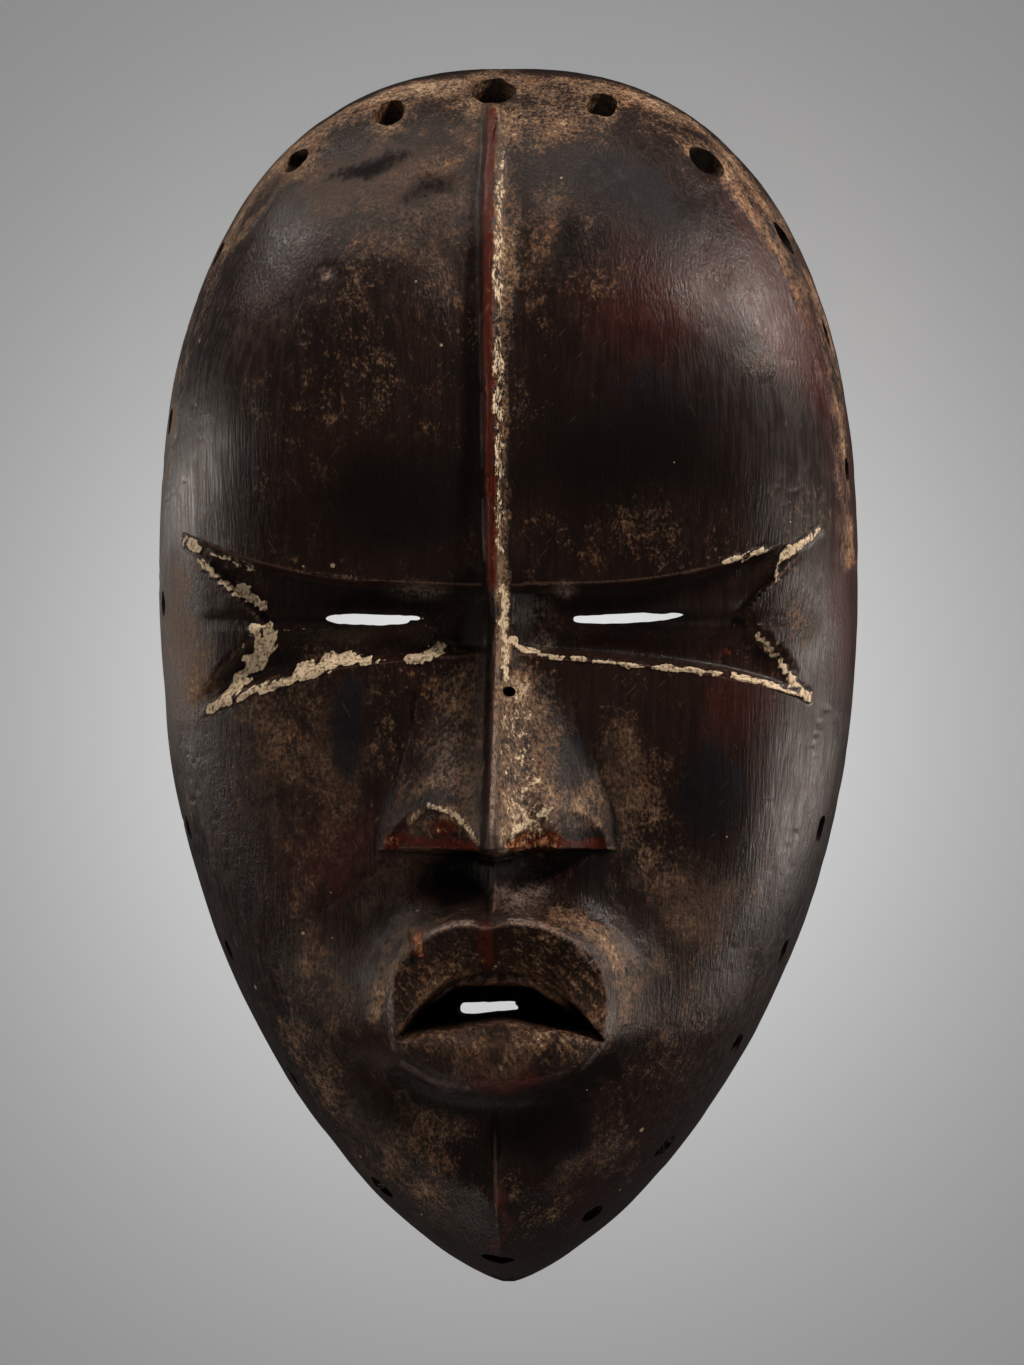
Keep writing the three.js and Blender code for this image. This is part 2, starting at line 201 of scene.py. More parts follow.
@dataclass(frozen=True)
class Noise:
    """Soft random unevenness in space, the same on every run."""

    seed: int
    lift: float = 1.6
    octave_shift: float = 17.3

    def _corner(self, i: Array, j: Array, k: Array) -> Array:
        """Random value of a lattice corner, from -1 to 1.

        Args:
            i: Lattice places across.
            j: Lattice places along.
            k: Lattice places up.

        Returns:
            The values.
        """
        a, b, c, d = SCRAMBLE
        h = (i * a + j * b + k * c + self.seed * d) & WORD
        h = ((h ^ (h >> 13)) * STIR) & WORD
        h = h ^ (h >> 16)
        return 2 * h / WORD - 1

    def at(self, x: Array, y: Array, z: Array) -> Array:
        """Noise at points given in lattice units, from -1 to 1.

        Args:
            x: Places across the face.
            y: Places along the face.
            z: Places upwards.

        Returns:
            The noise.
        """
        i, j, k = (np.floor(v).astype(np.int64) for v in (x, y, z))
        u, v, w = (t * t * (3 - 2 * t) for t in (x - i, y - j, z - k))
        total = 0.0
        for a, b, c in np.ndindex(2, 2, 2):
            weight = (u if a else 1 - u) * (v if b else 1 - v) * (w if c else 1 - w)
            total = total + weight * self._corner(i + a, j + b, k + c)
        return total

    def fractal(self, p: Array, size: float, octaves: int = 3, along: float = 1.0) -> Array:
        """Layered noise on points.

        Args:
            p: Points, one row each, in millimetres.
            size: Size of the largest lumps.
            octaves: How many layers, each half the size of the one before.
            along: How much longer the lumps are up and down the face.

        Returns:
            Values of about -1 to 1.
        """
        total = 0.0
        share = 1.0
        whole = 0.0
        for octave in range(octaves):
            step = size / 2**octave
            shift = self.octave_shift * octave
            total = total + share * self.at(
                p[:, 0] / step + shift, p[:, 1] / (step * along) + shift, p[:, 2] / step + shift
            )
            whole += share
            share *= 0.5
        return total / whole * self.lift


class Grain(Enum):
    """What is uneven on the mask: a seed, the lumps' size in millimetres, their layers and stretch."""

    HAND_ACROSS = (3, 26, 2)
    HAND_ALONG = (4, 26, 2)
    KNIFE = (5, 7, 2, 2.6)
    SWELLS = (6, 17, 2, 1.3)
    FIBRES = (7, 2.4, 2, 7)
    PITS = (8, 2.2, 2)
    DUST_CRUMBS = (9, 1.5, 2)
    CRUST_CRUMBS = (10, 1.7, 2)
    SCRATCHES = (11, 3)
    CHIP_WAVES = (12, 3)
    CHIP_EDGES = (13, 2.5)
    RIDGE_LUMPS = (14, 4.5)
    PATCHES_ACROSS = (15, 12, 4)
    PATCHES_ALONG = (16, 12, 4)
    CRUST_EDGES = (21, 1.7)
    CRUST_GAPS = (22, 1.5, 2)
    DUST_EDGES = (23, 3)
    DUST_SHARE = (24, 9)
    RUBBED_EDGES = (25, 3)
    RIDGE_EDGES = (26, 3)
    RUN_EDGES = (27, 2.5, 2)
    RIM_CORNERS = (31, 9)
    RIM_NICKS = (32, 6, 2)
    GOUGE_BROAD = (33, 11, 1, 1.6)
    GOUGE_FINE = (34, 6, 1, 1.5)
    EYE_SLITS = (41, 1.4, 2)
    MOUTH_SLOT = (45, 1.4, 2)
    RIM_HOLES = (50, 1.5, 2)

    def on(self, p: Array, which: int = 0) -> Array:
        """Unevenness at points, from about -1 to 1, where which tells one slit or hole from another."""
        seed, *lumps = self.value
        return Noise(seed + which).fractal(p, *lumps)


@dataclass(frozen=True)
class Stroke:
    """A mark on the face: a chain of points and its half width from its first to its last point."""

    points: tuple[Point, ...]
    width: float
    strength: float = 1.0
    end_width: float | None = None
    fade: Span = (0.65, 1.3)
    thinnest: float = 0.05

    def reach(self, x: Array, y: Array) -> Array:
        """Distance to the mark's middle line, in half widths.

        Args:
            x: Places across the face.
            y: Places along the face.

        Returns:
            0 on the line, 1 at the mark's edge.
        """
        last = self.end_width if self.end_width is not None else self.width
        count = len(self.points) - 1
        best = np.full(x.shape, np.inf)
        for i, ((ax, ay), (bx, by)) in enumerate(zip(self.points, self.points[1:])):
            dx, dy = bx - ax, by - ay
            t = clamp(((x - ax) * dx + (y - ay) * dy) / (dx * dx + dy * dy))
            away = np.hypot(x - ax - t * dx, y - ay - t * dy)
            width = mix(self.width, last, (i + t) / count)
            best = np.minimum(best, away / np.maximum(width, self.thinnest))
        return best

    def cover(self, x: Array, y: Array, ragged: Array) -> Array:
        """How much the mark covers each place, with its edge made ragged."""
        return self.strength * (1 - smooth(*self.fade, self.reach(x, y) + ragged))


@dataclass(frozen=True)
class Patch:
    """An oval, soft-edged mark: its middle, its half sizes, how far it is turned and how strong it is."""

    x: float
    y: float
    across: float
    along: float
    strength: float = 1.0
    turn: float = 0.0
    softness: float = 1.4

    def cover(self, x: Array, y: Array) -> Array:
        """How much the patch covers each place, from 0 to its strength.

        Args:
            x: Places across the face.
            y: Places along the face.

        Returns:
            The cover.
        """
        c, s = math.cos(math.radians(self.turn)), math.sin(math.radians(self.turn))
        u = ((x - self.x) * c + (y - self.y) * s) / self.across
        v = ((y - self.y) * c - (x - self.x) * s) / self.along
        return self.strength * np.exp(-((u * u + v * v) ** self.softness))


def strokes_cover(strokes: tuple[Stroke, ...], x: Array, y: Array, ragged: Array) -> Array:
    """The strongest cover of a set of marks with ragged edges.

    Args:
        strokes: The marks.
        x: Places across the face.
        y: Places along the face.
        ragged: Unevenness of the edges, in half widths.

    Returns:
        Cover from 0 to 1.
    """
    total = np.zeros(x.shape)
    for stroke in strokes:
        total = np.maximum(total, stroke.cover(x, y, ragged))
    return total


@dataclass(frozen=True)
class Swell:
    """A soft swell on both sides of the face, or a dip where its height is below 0."""

    x: float
    y: float
    across: float
    along: float
    height: float

    def rise(self, x: Array, y: Array) -> Array:
        """How far the swell lifts each place."""
        return self.height * bump((np.abs(x) - self.x) / self.across) * bump((y - self.y) / self.along)


def patches_cover(patches: tuple[Patch, ...], x: Array, y: Array) -> Array:
    """The joined cover of a set of soft patches, from 0 to 1.

    Args:
        patches: The patches.
        x: Places across the face.
        y: Places along the face.

    Returns:
        The cover.
    """
    clear = np.ones(x.shape)
    for patch in patches:
        clear = clear * (1 - patch.cover(x, y))
    return 1 - clear


@dataclass(frozen=True)
class Outline:
    """The mask seen from the front: an egg that closes to a pointed chin."""

    half_length: float
    half_width: float
    widest_y: float = 18.9
    crown_power: float = 2.4
    jaw_power: float = 2.2
    jaw_closing: float = 0.73
    column_bend: float = 4.0
    column_power: float = 6.0

    def reach(self, y: Array) -> Array:
        """Half the width at each height on the face.

        Args:
            y: Places along the face.

        Returns:
            Half widths.
        """
        up = clamp((y - self.widest_y) / (self.half_length - self.widest_y))
        down = clamp((self.widest_y - y) / (self.widest_y + self.half_length))
        crown = self.half_width * (1 - up**self.crown_power) ** (1 / self.crown_power)
        jaw = self.half_width * (1 - down**self.jaw_power) ** self.jaw_closing
        return np.where(y >= self.widest_y, crown, jaw)

    def column(self, u: Array, y: Array) -> Array:
        """Where a grid column runs: straight in the middle, and with the outline at the sides.

        Args:
            u: Place of the column, from -1 to 1.
            y: Places along the face.

        Returns:
            Places across the face.
        """
        w = self.reach(y)
        power = 1 + self.column_bend * (w / self.half_width) ** self.column_power
        side = np.abs(u)
        return np.sign(u) * (self.half_width * side - (self.half_width - w) * side**power)


@dataclass(frozen=True)
class Dome:
    """The plain body of the mask behind its features, and the hollow at its back."""

    outline: Outline
    rim_edge: float = 2.6
    side_wall: float = 6.4
    chin_wall: float = 8.0
    depth_share: float = 0.845
    flat_chin: float = 1.75
    flat_middle: float = 4.8
    flat_top: float = 2.7
    round_middle: float = 2.1
    round_top: float = 1.8
    chin_span: Span = (-66, -112)
    top_span: Span = (50, 116)
    round_span: Span = (50, 110)
    profile: Stations = (
        (-120.1, 2.6), (-117.5, 11), (-112.5, 23.5), (-105, 35), (-96, 41), (-82, 44.5),
        (-60, 46.5), (-30, 46.5), (0, 46.5), (22, 50.5), (46, 53), (66, 51.5), (84, 46.5),
        (98, 38.5), (107, 30), (113.5, 20.5), (117.8, 11.5), (120.1, 2.6),
    )

    @property
    def across(self) -> float:
        """Width of the hollow beside the width of the mask."""
        return 1 - self.side_wall / self.outline.half_width

    @property
    def along(self) -> float:
        """Length of the hollow beside the length of the mask."""
        return 1 - self.chin_wall / self.outline.half_length

    def height(self, x: Array, y: Array) -> Array:
        """Height of the body: a rounded section at every place along the face.

        Args:
            x: Places across the face.
            y: Places along the face.

        Returns:
            Heights.
        """
        q = clamp(np.abs(x) / np.maximum(self.outline.reach(y), 1e-6))
        flat = mix(self.flat_middle, self.flat_top, smooth(*self.top_span, y))
        flat = mix(flat, self.flat_chin, smooth(*self.chin_span, y))
        roundness = mix(self.round_middle, self.round_top, smooth(*self.round_span, y))
        crown = (1 - q**flat) ** (1 / roundness)
        return self.rim_edge + (through(self.profile, y) - self.rim_edge) * crown

    def hollow(self, x: Array, y: Array) -> Array:
        """Height of the hollow: the plain body, drawn in on every side."""
        return (self.height(x / self.across, y / self.along) - self.rim_edge) * self.depth_share


@dataclass(frozen=True)
class Eye:
    """One half of the sunk eye band: a lid with its slit, and two tails round a side panel."""

    side: int
    apex: Point
    cheek_drop: float
    slit: tuple[Point, ...]


@dataclass(frozen=True)
class EyeBand:
    """The sunk band between the brow and the cheeks."""

    eyes: tuple[Eye, Eye] = (
        Eye(-1, (45.4, 9.9), 8.2, (
            (-33.8, 10.9), (-32.6, 11.6), (-28.1, 11.9), (-21.9, 11.7), (-16.3, 11.5), (-15.0, 11.1),
            (-15.3, 10.7), (-16.8, 10.6), (-17.8, 10.0), (-21.9, 9.7), (-27.4, 9.8), (-32.3, 10.2),
        )),
        Eye(1, (47.5, 12.2), 4.6, (
            (14.4, 10.9), (15.2, 11.4), (20.7, 11.7), (27.0, 12.1), (31.5, 11.9), (33.8, 12.1),
            (35.9, 11.7), (33.7, 10.9), (29.1, 10.3), (22.2, 10.0), (16.0, 10.2), (14.7, 10.4),
        )),
    )
    slit_y: float = 10.8
    brow_y: float = 17.3
    brow_lift: float = 10.4
    cheek_y: float = 4.4
    cheek_fall: float = 4.2
    tail_x: float = 61.5
    tail_fade: float = 14.0
    brow_reach: float = 61.0
    cheek_reach: float = 60.0
    cheek_power: float = 3.5
    depth: float = 4.0
    brow_wall: float = 1.5
    cheek_wall: float = 2.2
    panel_wall: float = 1.8
    panel_slope: float = 1.02
    bridge_span: Span = (0.5, 8.5)
    lid_swell: float = 1.5
    lid_half: float = 3.4
    lid_span: Span = (5, 20)
    line_depth: float = 0.9
    line_half: float = 0.8
    line_start: Span = (28, 34)
    line_end: Span = (48, 62)
    brow_row_reach: float = 44.0
    cheek_row_reach: float = 36.0

    def brow(self, x: Array) -> Array:
        """The brow edge, rising to the tails."""
        return self.brow_y + self.brow_lift * (np.minimum(np.abs(x), self.tail_x) / self.brow_reach) ** 3

    def cheek(self, x: Array) -> Array:
        """The cheek edge, falling to the tails.

        Args:
            x: Places across the face.

        Returns:
            The edge's places along the face.
        """
        s = np.minimum(np.abs(x), self.tail_x) / self.cheek_reach
        drop = np.where(x < 0, self.eyes[0].cheek_drop, self.eyes[1].cheek_drop)
        return self.cheek_y - self.cheek_fall * s - drop * s**self.cheek_power

    def panel(self, x: Array, y: Array) -> Array:
        """How far a place lies outside the side panel, measured along Y.

        Args:
            x: Places across the face.
            y: Places along the face.

        Returns:
            Distances, below 0 inside the panel.
        """
        left, right = self.eyes
        apex_x = np.where(x < 0, left.apex[0], right.apex[0])
        apex_y = np.where(x < 0, left.apex[1], right.apex[1])
        return np.abs(y - apex_y) - self.panel_slope * (np.abs(x) - apex_x)

    def inside(self, x: Array, y: Array) -> Array:
        """1 on the floor of the band, 0 on the face around it.

        Args:
            x: Places across the face.
            y: Places along the face.

        Returns:
            Shares from 0 to 1.
        """
        side = np.abs(x)
        return (
            cut((self.brow(x) - y) / self.brow_wall)
            * cut((y - self.cheek(x)) / self.cheek_wall)
            * cut(self.panel(x, y) / self.panel_wall)
            * (1 - smooth(self.tail_x - self.tail_fade, self.tail_x, side))
            * smooth(*self.bridge_span, side)
        )

    def sink(self, x: Array, y: Array) -> Array:
        """Depth of the band under the face, with the swell of the lids and the line beyond each slit.

        Args:
            x: Places across the face.
            y: Places along the face.

        Returns:
            Depths.
        """
        side = np.abs(x)
        swell = self.lid_swell * bump((y - self.slit_y) / self.lid_half) * smooth(*self.lid_span, side)
        line = bump((y - self.slit_y) / self.line_half) * smooth(*self.line_start, side)
        line = line * (1 - smooth(*self.line_end, side))
        return (self.depth - swell) * self.inside(x, y) + self.line_depth * line

    def row(self, row: Array, x: Array) -> Array:
        """Bends a grid row so that it follows the brow or the cheek edge.

        Args:
            row: The row's place before it is bent.
            x: Places across the face.

        Returns:
            Its places along the face.
        """
        brow = self.brow(x) - self.brow_y
        cheek = self.cheek(x) - self.cheek_y
        lid = (row - self.slit_y) / (self.brow_y - self.slit_y)
        pouch = (self.slit_y - row) / (self.slit_y - self.cheek_y)
        above = row + brow * (1 - clamp((row - self.brow_y) / self.brow_row_reach))
        below = row + cheek * (1 - clamp((self.cheek_y - row) / self.cheek_row_reach))
        middle = np.where(row >= self.slit_y, row + brow * clamp(lid), row + cheek * clamp(pouch))
        return np.where(row >= self.brow_y, above, np.where(row >= self.cheek_y, middle, below))


@dataclass(frozen=True)
class Nose:
    """A long straight nose with hollow flanks, cut off flat above its base by two arcs."""

    tip_y: float = -33.5
    lean: float = 0.2
    crest: Stations = ((-33.5, 71.5), (-26, 67.3), (-14, 60.5), (-2, 54.5), (8, 51.2), (18, 50))
    edge: Stations = ((-33.5, 47.5), (-25, 47), (-15, 45.6), (-2, 44), (6, 41), (16, 36))
    half: Stations = ((-33.5, 21.4), (-27, 20.9), (-19, 18.8), (-9, 16.2), (1, 13.6), (7, 9.5), (17, 7))
    swell: Stations = ((-33.5, 9.0), (-25, 7.2), (-15, 3.2), (-4, 0.8), (4, 0))
    flank_curve: float = 3.6
    hollow_share: float = 0.8
    side_fall: float = 2.2
    swell_middle: float = 0.56
    swell_half: float = 0.3
    top_y: float = 20.0
    wing_x: float = 11.8
    wing_shift: float = 0.1
    wing_half: float = 9.6
    wing_rise: float = 8.4
    facet_fall: float = 0.42
    under_fall: float = 12.0

    def flank(self, x: Array, y: Array) -> Array:
        """Height of the upper faces: the crest, the hollow flanks and the swell of the wings.

        Args:
            x: Places across the face.
            y: Places along the face.

        Returns:
            Heights.
        """
        half = through(self.half, y)
        edge = through(self.edge, y)
        q = np.abs(x - self.lean) / half
        hollow = np.exp(-self.flank_curve * q) - math.exp(-self.flank_curve) * q
        shape = mix(1 - q, hollow, self.hollow_share)
        at_edge = bump((1 - self.swell_middle) / self.swell_half)
        wing = bump((q - self.swell_middle) / self.swell_half) - at_edge * smooth(0.5, 1, q)
        inner = edge + (through(self.crest, y) - edge) * shape + through(self.swell, y) * wing
        return np.where(q <= 1, inner, edge - self.side_fall * (q - 1) * half)

    def arc(self, x: Array) -> Array:
        """The arc that cuts each wing off above its flat face."""
        t = (np.abs(x - self.lean - self.wing_shift) - self.wing_x) / self.wing_half
        return self.tip_y + self.wing_rise * np.sqrt(np.maximum(0, 1 - t * t))

    def height(self, x: Array, y: Array) -> Array:
        """Height of the nose, with its flat faces and its steep underside.

        Args:
            x: Places across the face.
            y: Places along the face.

        Returns:
            Heights.
        """
        arc = self.arc(x)
        facet = self.facet_fall * np.maximum(0, arc - np.maximum(y, self.tip_y))
        under = self.under_fall * np.maximum(0, self.tip_y - y)
        return self.flank(x, np.maximum(y, arc)) - facet - under


@dataclass(frozen=True)
class Mouth:
    """Parted lips that stand out of the face, with a dark recess and a row of worn teeth between them."""

    x: float = 1.0
    y: float = -62.9
    half_width: float = 21.4
    half_height: float = 15.7
    power: float = 2.5
    proud: float = 13.5
    corner_y: float = -70.6
    corner_reach: float = 20.6
    upper_y: float = -55.8
    lower_y: float = -66.4
    floor: float = 46.5
    lip_reach: float = 18.0
    edge_round: float = 0.7
    bow_x: float = -0.9
    bow_peaks: float = 6.0
    bow_half: float = 4.5
    bow_rise: float = 0.55
    dip_half: float = 2.4
    dip_depth: float = 0.7
    groove_x: float = -0.6
    groove_span: Span = (-56, -48)
    upper_more: float = 2.8
    upper_span: Span = (-60, -48)
    corner_less: float = 3.0
    corner_span: Span = (12, 22)
    lower_less: float = 2.2
    lower_span: Span = (-70, -79)
    foot_lower: float = 2.8
    foot_middle: float = 4.6
    foot_less: float = 1.6
    foot_span: Span = (-78, -66)
    lip_width: float = 12.0
    slope_lower: float = 0.12
    slope_upper: float = 0.5
    slope_span: Span = (-74, -62)
    upper_power: float = 2.35
    lower_power: float = 1.15
    shelf_y: float = -60.4
    shelf_fall: float = 0.027
    shelf_bend: Span = (4.5, 11)
    shelf_height: float = 6.4
    shelf_edge: Span = (-0.4, 1.6)
    shelf_end: Span = (12, 19)
    teeth_x: float = -1.5
    teeth_reach: float = 9.0
    teeth_drop: float = 2.2
    teeth_depth: float = 0.9
    teeth_pace: float = 2.1
    opening_edge: Span = (-0.2, 2.0)
    slot: tuple[Point, ...] = (
        (-7.6, -64.5), (-7.1, -63.6), (-6.3, -63.2), (-1.5, -63.1), (3.1, -62.9), (3.6, -63.5),
        (4.2, -64.1), (3.6, -64.7), (3.0, -64.9), (-1.4, -65.3), (-5.0, -65.7), (-7.1, -65.4),
    )

    def reach(self, x: Array, y: Array) -> Array:
        """How far out a place is from the middle of the mouth, 1 on the edge of the lips.

        Args:
            x: Places across the face.
            y: Places along the face.

        Returns:
            Distances, 0 in the middle.
        """
        u = np.abs(x - self.x) / self.half_width
        off = x - self.bow_x
        bow = self.bow_rise * bump((np.abs(off) - self.bow_peaks) / self.bow_half)
        bow = bow - self.dip_depth * bump(off / self.dip_half)
        v = np.abs(y - self.y) / (self.half_height + np.where(y > self.y, bow, 0))
        return (u**self.power + v**self.power) ** (1 / self.power)

    def stand(self, x: Array, y: Array) -> Array:
        """How far the edge of the lips stands out of the face.

        Args:
            x: Places across the face.
            y: Places along the face.

        Returns:
            Heights over the face.
        """
        return (
            self.proud
            + self.upper_more * smooth(*self.upper_span, y)
            - self.corner_less * smooth(*self.corner_span, np.abs(x - self.x))
            - self.lower_less * smooth(*self.lower_span, y)
            - bump((x - self.groove_x) / self.dip_half) * smooth(*self.groove_span, y)
        )

    def inner(self, x: Array, middle: float, power: float) -> Array:
        """Inner edge of a lip, curving from its middle to the corners of the mouth."""
        return middle - (middle - self.corner_y) * (np.abs(x - self.x) / self.corner_reach) ** power

    def gap(self, x: Array, y: Array) -> Array:
        """How far inside the opening between the lips a place lies."""
        upper = self.inner(x, self.upper_y, self.upper_power)
        return np.minimum(upper - y, y - self.inner(x, self.lower_y, self.lower_power))

    def shelf(self, x: Array) -> Array:
        """Lower edge of the shelf behind the upper lip."""
        side = np.abs(x)
        return self.shelf_y - self.shelf_fall * side**2 * smooth(*self.shelf_bend, side)

    def recess(self, x: Array, y: Array) -> Array:
        """Height of the recess between the lips: its floor, the shelf and the worn teeth.

        Args:
            x: Places across the face.
            y: Places along the face.

        Returns:
            Heights.
        """
        shelf = smooth(*self.shelf_edge, y - self.shelf(x))
        shelf = shelf * (1 - smooth(*self.shelf_end, np.abs(x - self.x)))
        below_upper = self.inner(x, self.upper_y, self.upper_power) - y
        teeth = bump(below_upper - self.teeth_drop) * (0.5 + 0.5 * np.cos(x * self.teeth_pace))
        teeth = teeth * bump((x - self.teeth_x) / self.teeth_reach)
        return self.floor + self.shelf_height * shelf + self.teeth_depth * teeth

    def height(self, x: Array, y: Array, ground: Array) -> Array:
        """Height of the muzzle round the mouth, the lips and the recess.

        Args:
            x: Places across the face.
            y: Places along the face.
            ground: Height of the face without a mouth.

        Returns:
            Height with the mouth.
        """
        reach = self.reach(x, y)
        proud = self.stand(x, y)
        spread = mix(self.foot_lower, self.foot_middle, smooth(*self.foot_span, y))
        spread = spread - self.foot_less * smooth(*self.upper_span, y)
        beyond = (reach - 1) * self.lip_reach
        beyond = 0.5 * (beyond + np.sqrt(beyond**2 + self.edge_round**2))
        outside = ground + proud * np.exp(-beyond / spread)
        inward = np.maximum(1 - reach, 0) * self.lip_reach
        slope = mix(self.slope_lower, self.slope_upper, smooth(*self.slope_span, y))
        lip = ground + proud - np.minimum(inward, self.lip_width) * slope
        opening = smooth(*self.opening_edge, self.gap(x, y))
        inside = mix(lip, np.minimum(lip, self.recess(x, y)), opening)
        return np.minimum(outside, inside)


@dataclass(frozen=True)
class Ridge:
    """The bar that runs down the forehead and fades into the crest of the nose."""

    top_y: float = 112.2
    x: float = -0.35
    lean: float = 0.0145
    height: float = 3.2
    half: float = 1.9
    foot: float = 1.8
    foot_width: float = 3.4
    nose_share: float = 0.34
    straight_y: float = 15.0
    top_fade: Span = (-0.8, 0.4)
    bar_edge: Span = (0.45, 1.3)
    narrow_share: float = 0.62
    wide_span: Span = (0, 95)
    nose_span: Span = (-6, 14)
    foot_span: Span = (4, 24)
    tip_fade: float = 3.0

    def middle(self, y: Array) -> Array:
        """Place of the bar's middle line."""
        return self.x - self.lean * np.maximum(y - self.straight_y, 0)

    def rise(self, x: Array, y: Array, tip_y: float) -> Array:
        """How far the bar and its foot stand out of the forehead and the nose.

        Args:
            x: Places across the face.
            y: Places along the face.
            tip_y: Place of the nose's tip.

        Returns:
            Heights over the forehead.
        """
        across = np.abs(x - self.middle(y))
        along = 1 - smooth(*self.top_fade, y - self.top_y)
        on_nose = self.nose_share * smooth(tip_y, tip_y + self.tip_fade, y)
        half = self.half * mix(self.narrow_share, 1, smooth(*self.wide_span, y))
        bar = self.height * (1 - smooth(*self.bar_edge, across / half))
        foot = self.foot * np.exp(-across / self.foot_width)
        share = mix(on_nose, 1, smooth(*self.nose_span, y))
        return along * (share * bar + smooth(*self.foot_span, y) * foot)


@dataclass(frozen=True)
class RimHole:
    """A hole through the wall beside the rim: its place, its width along the rim and its height."""

    x: float
    y: float
    width: float
    height: float


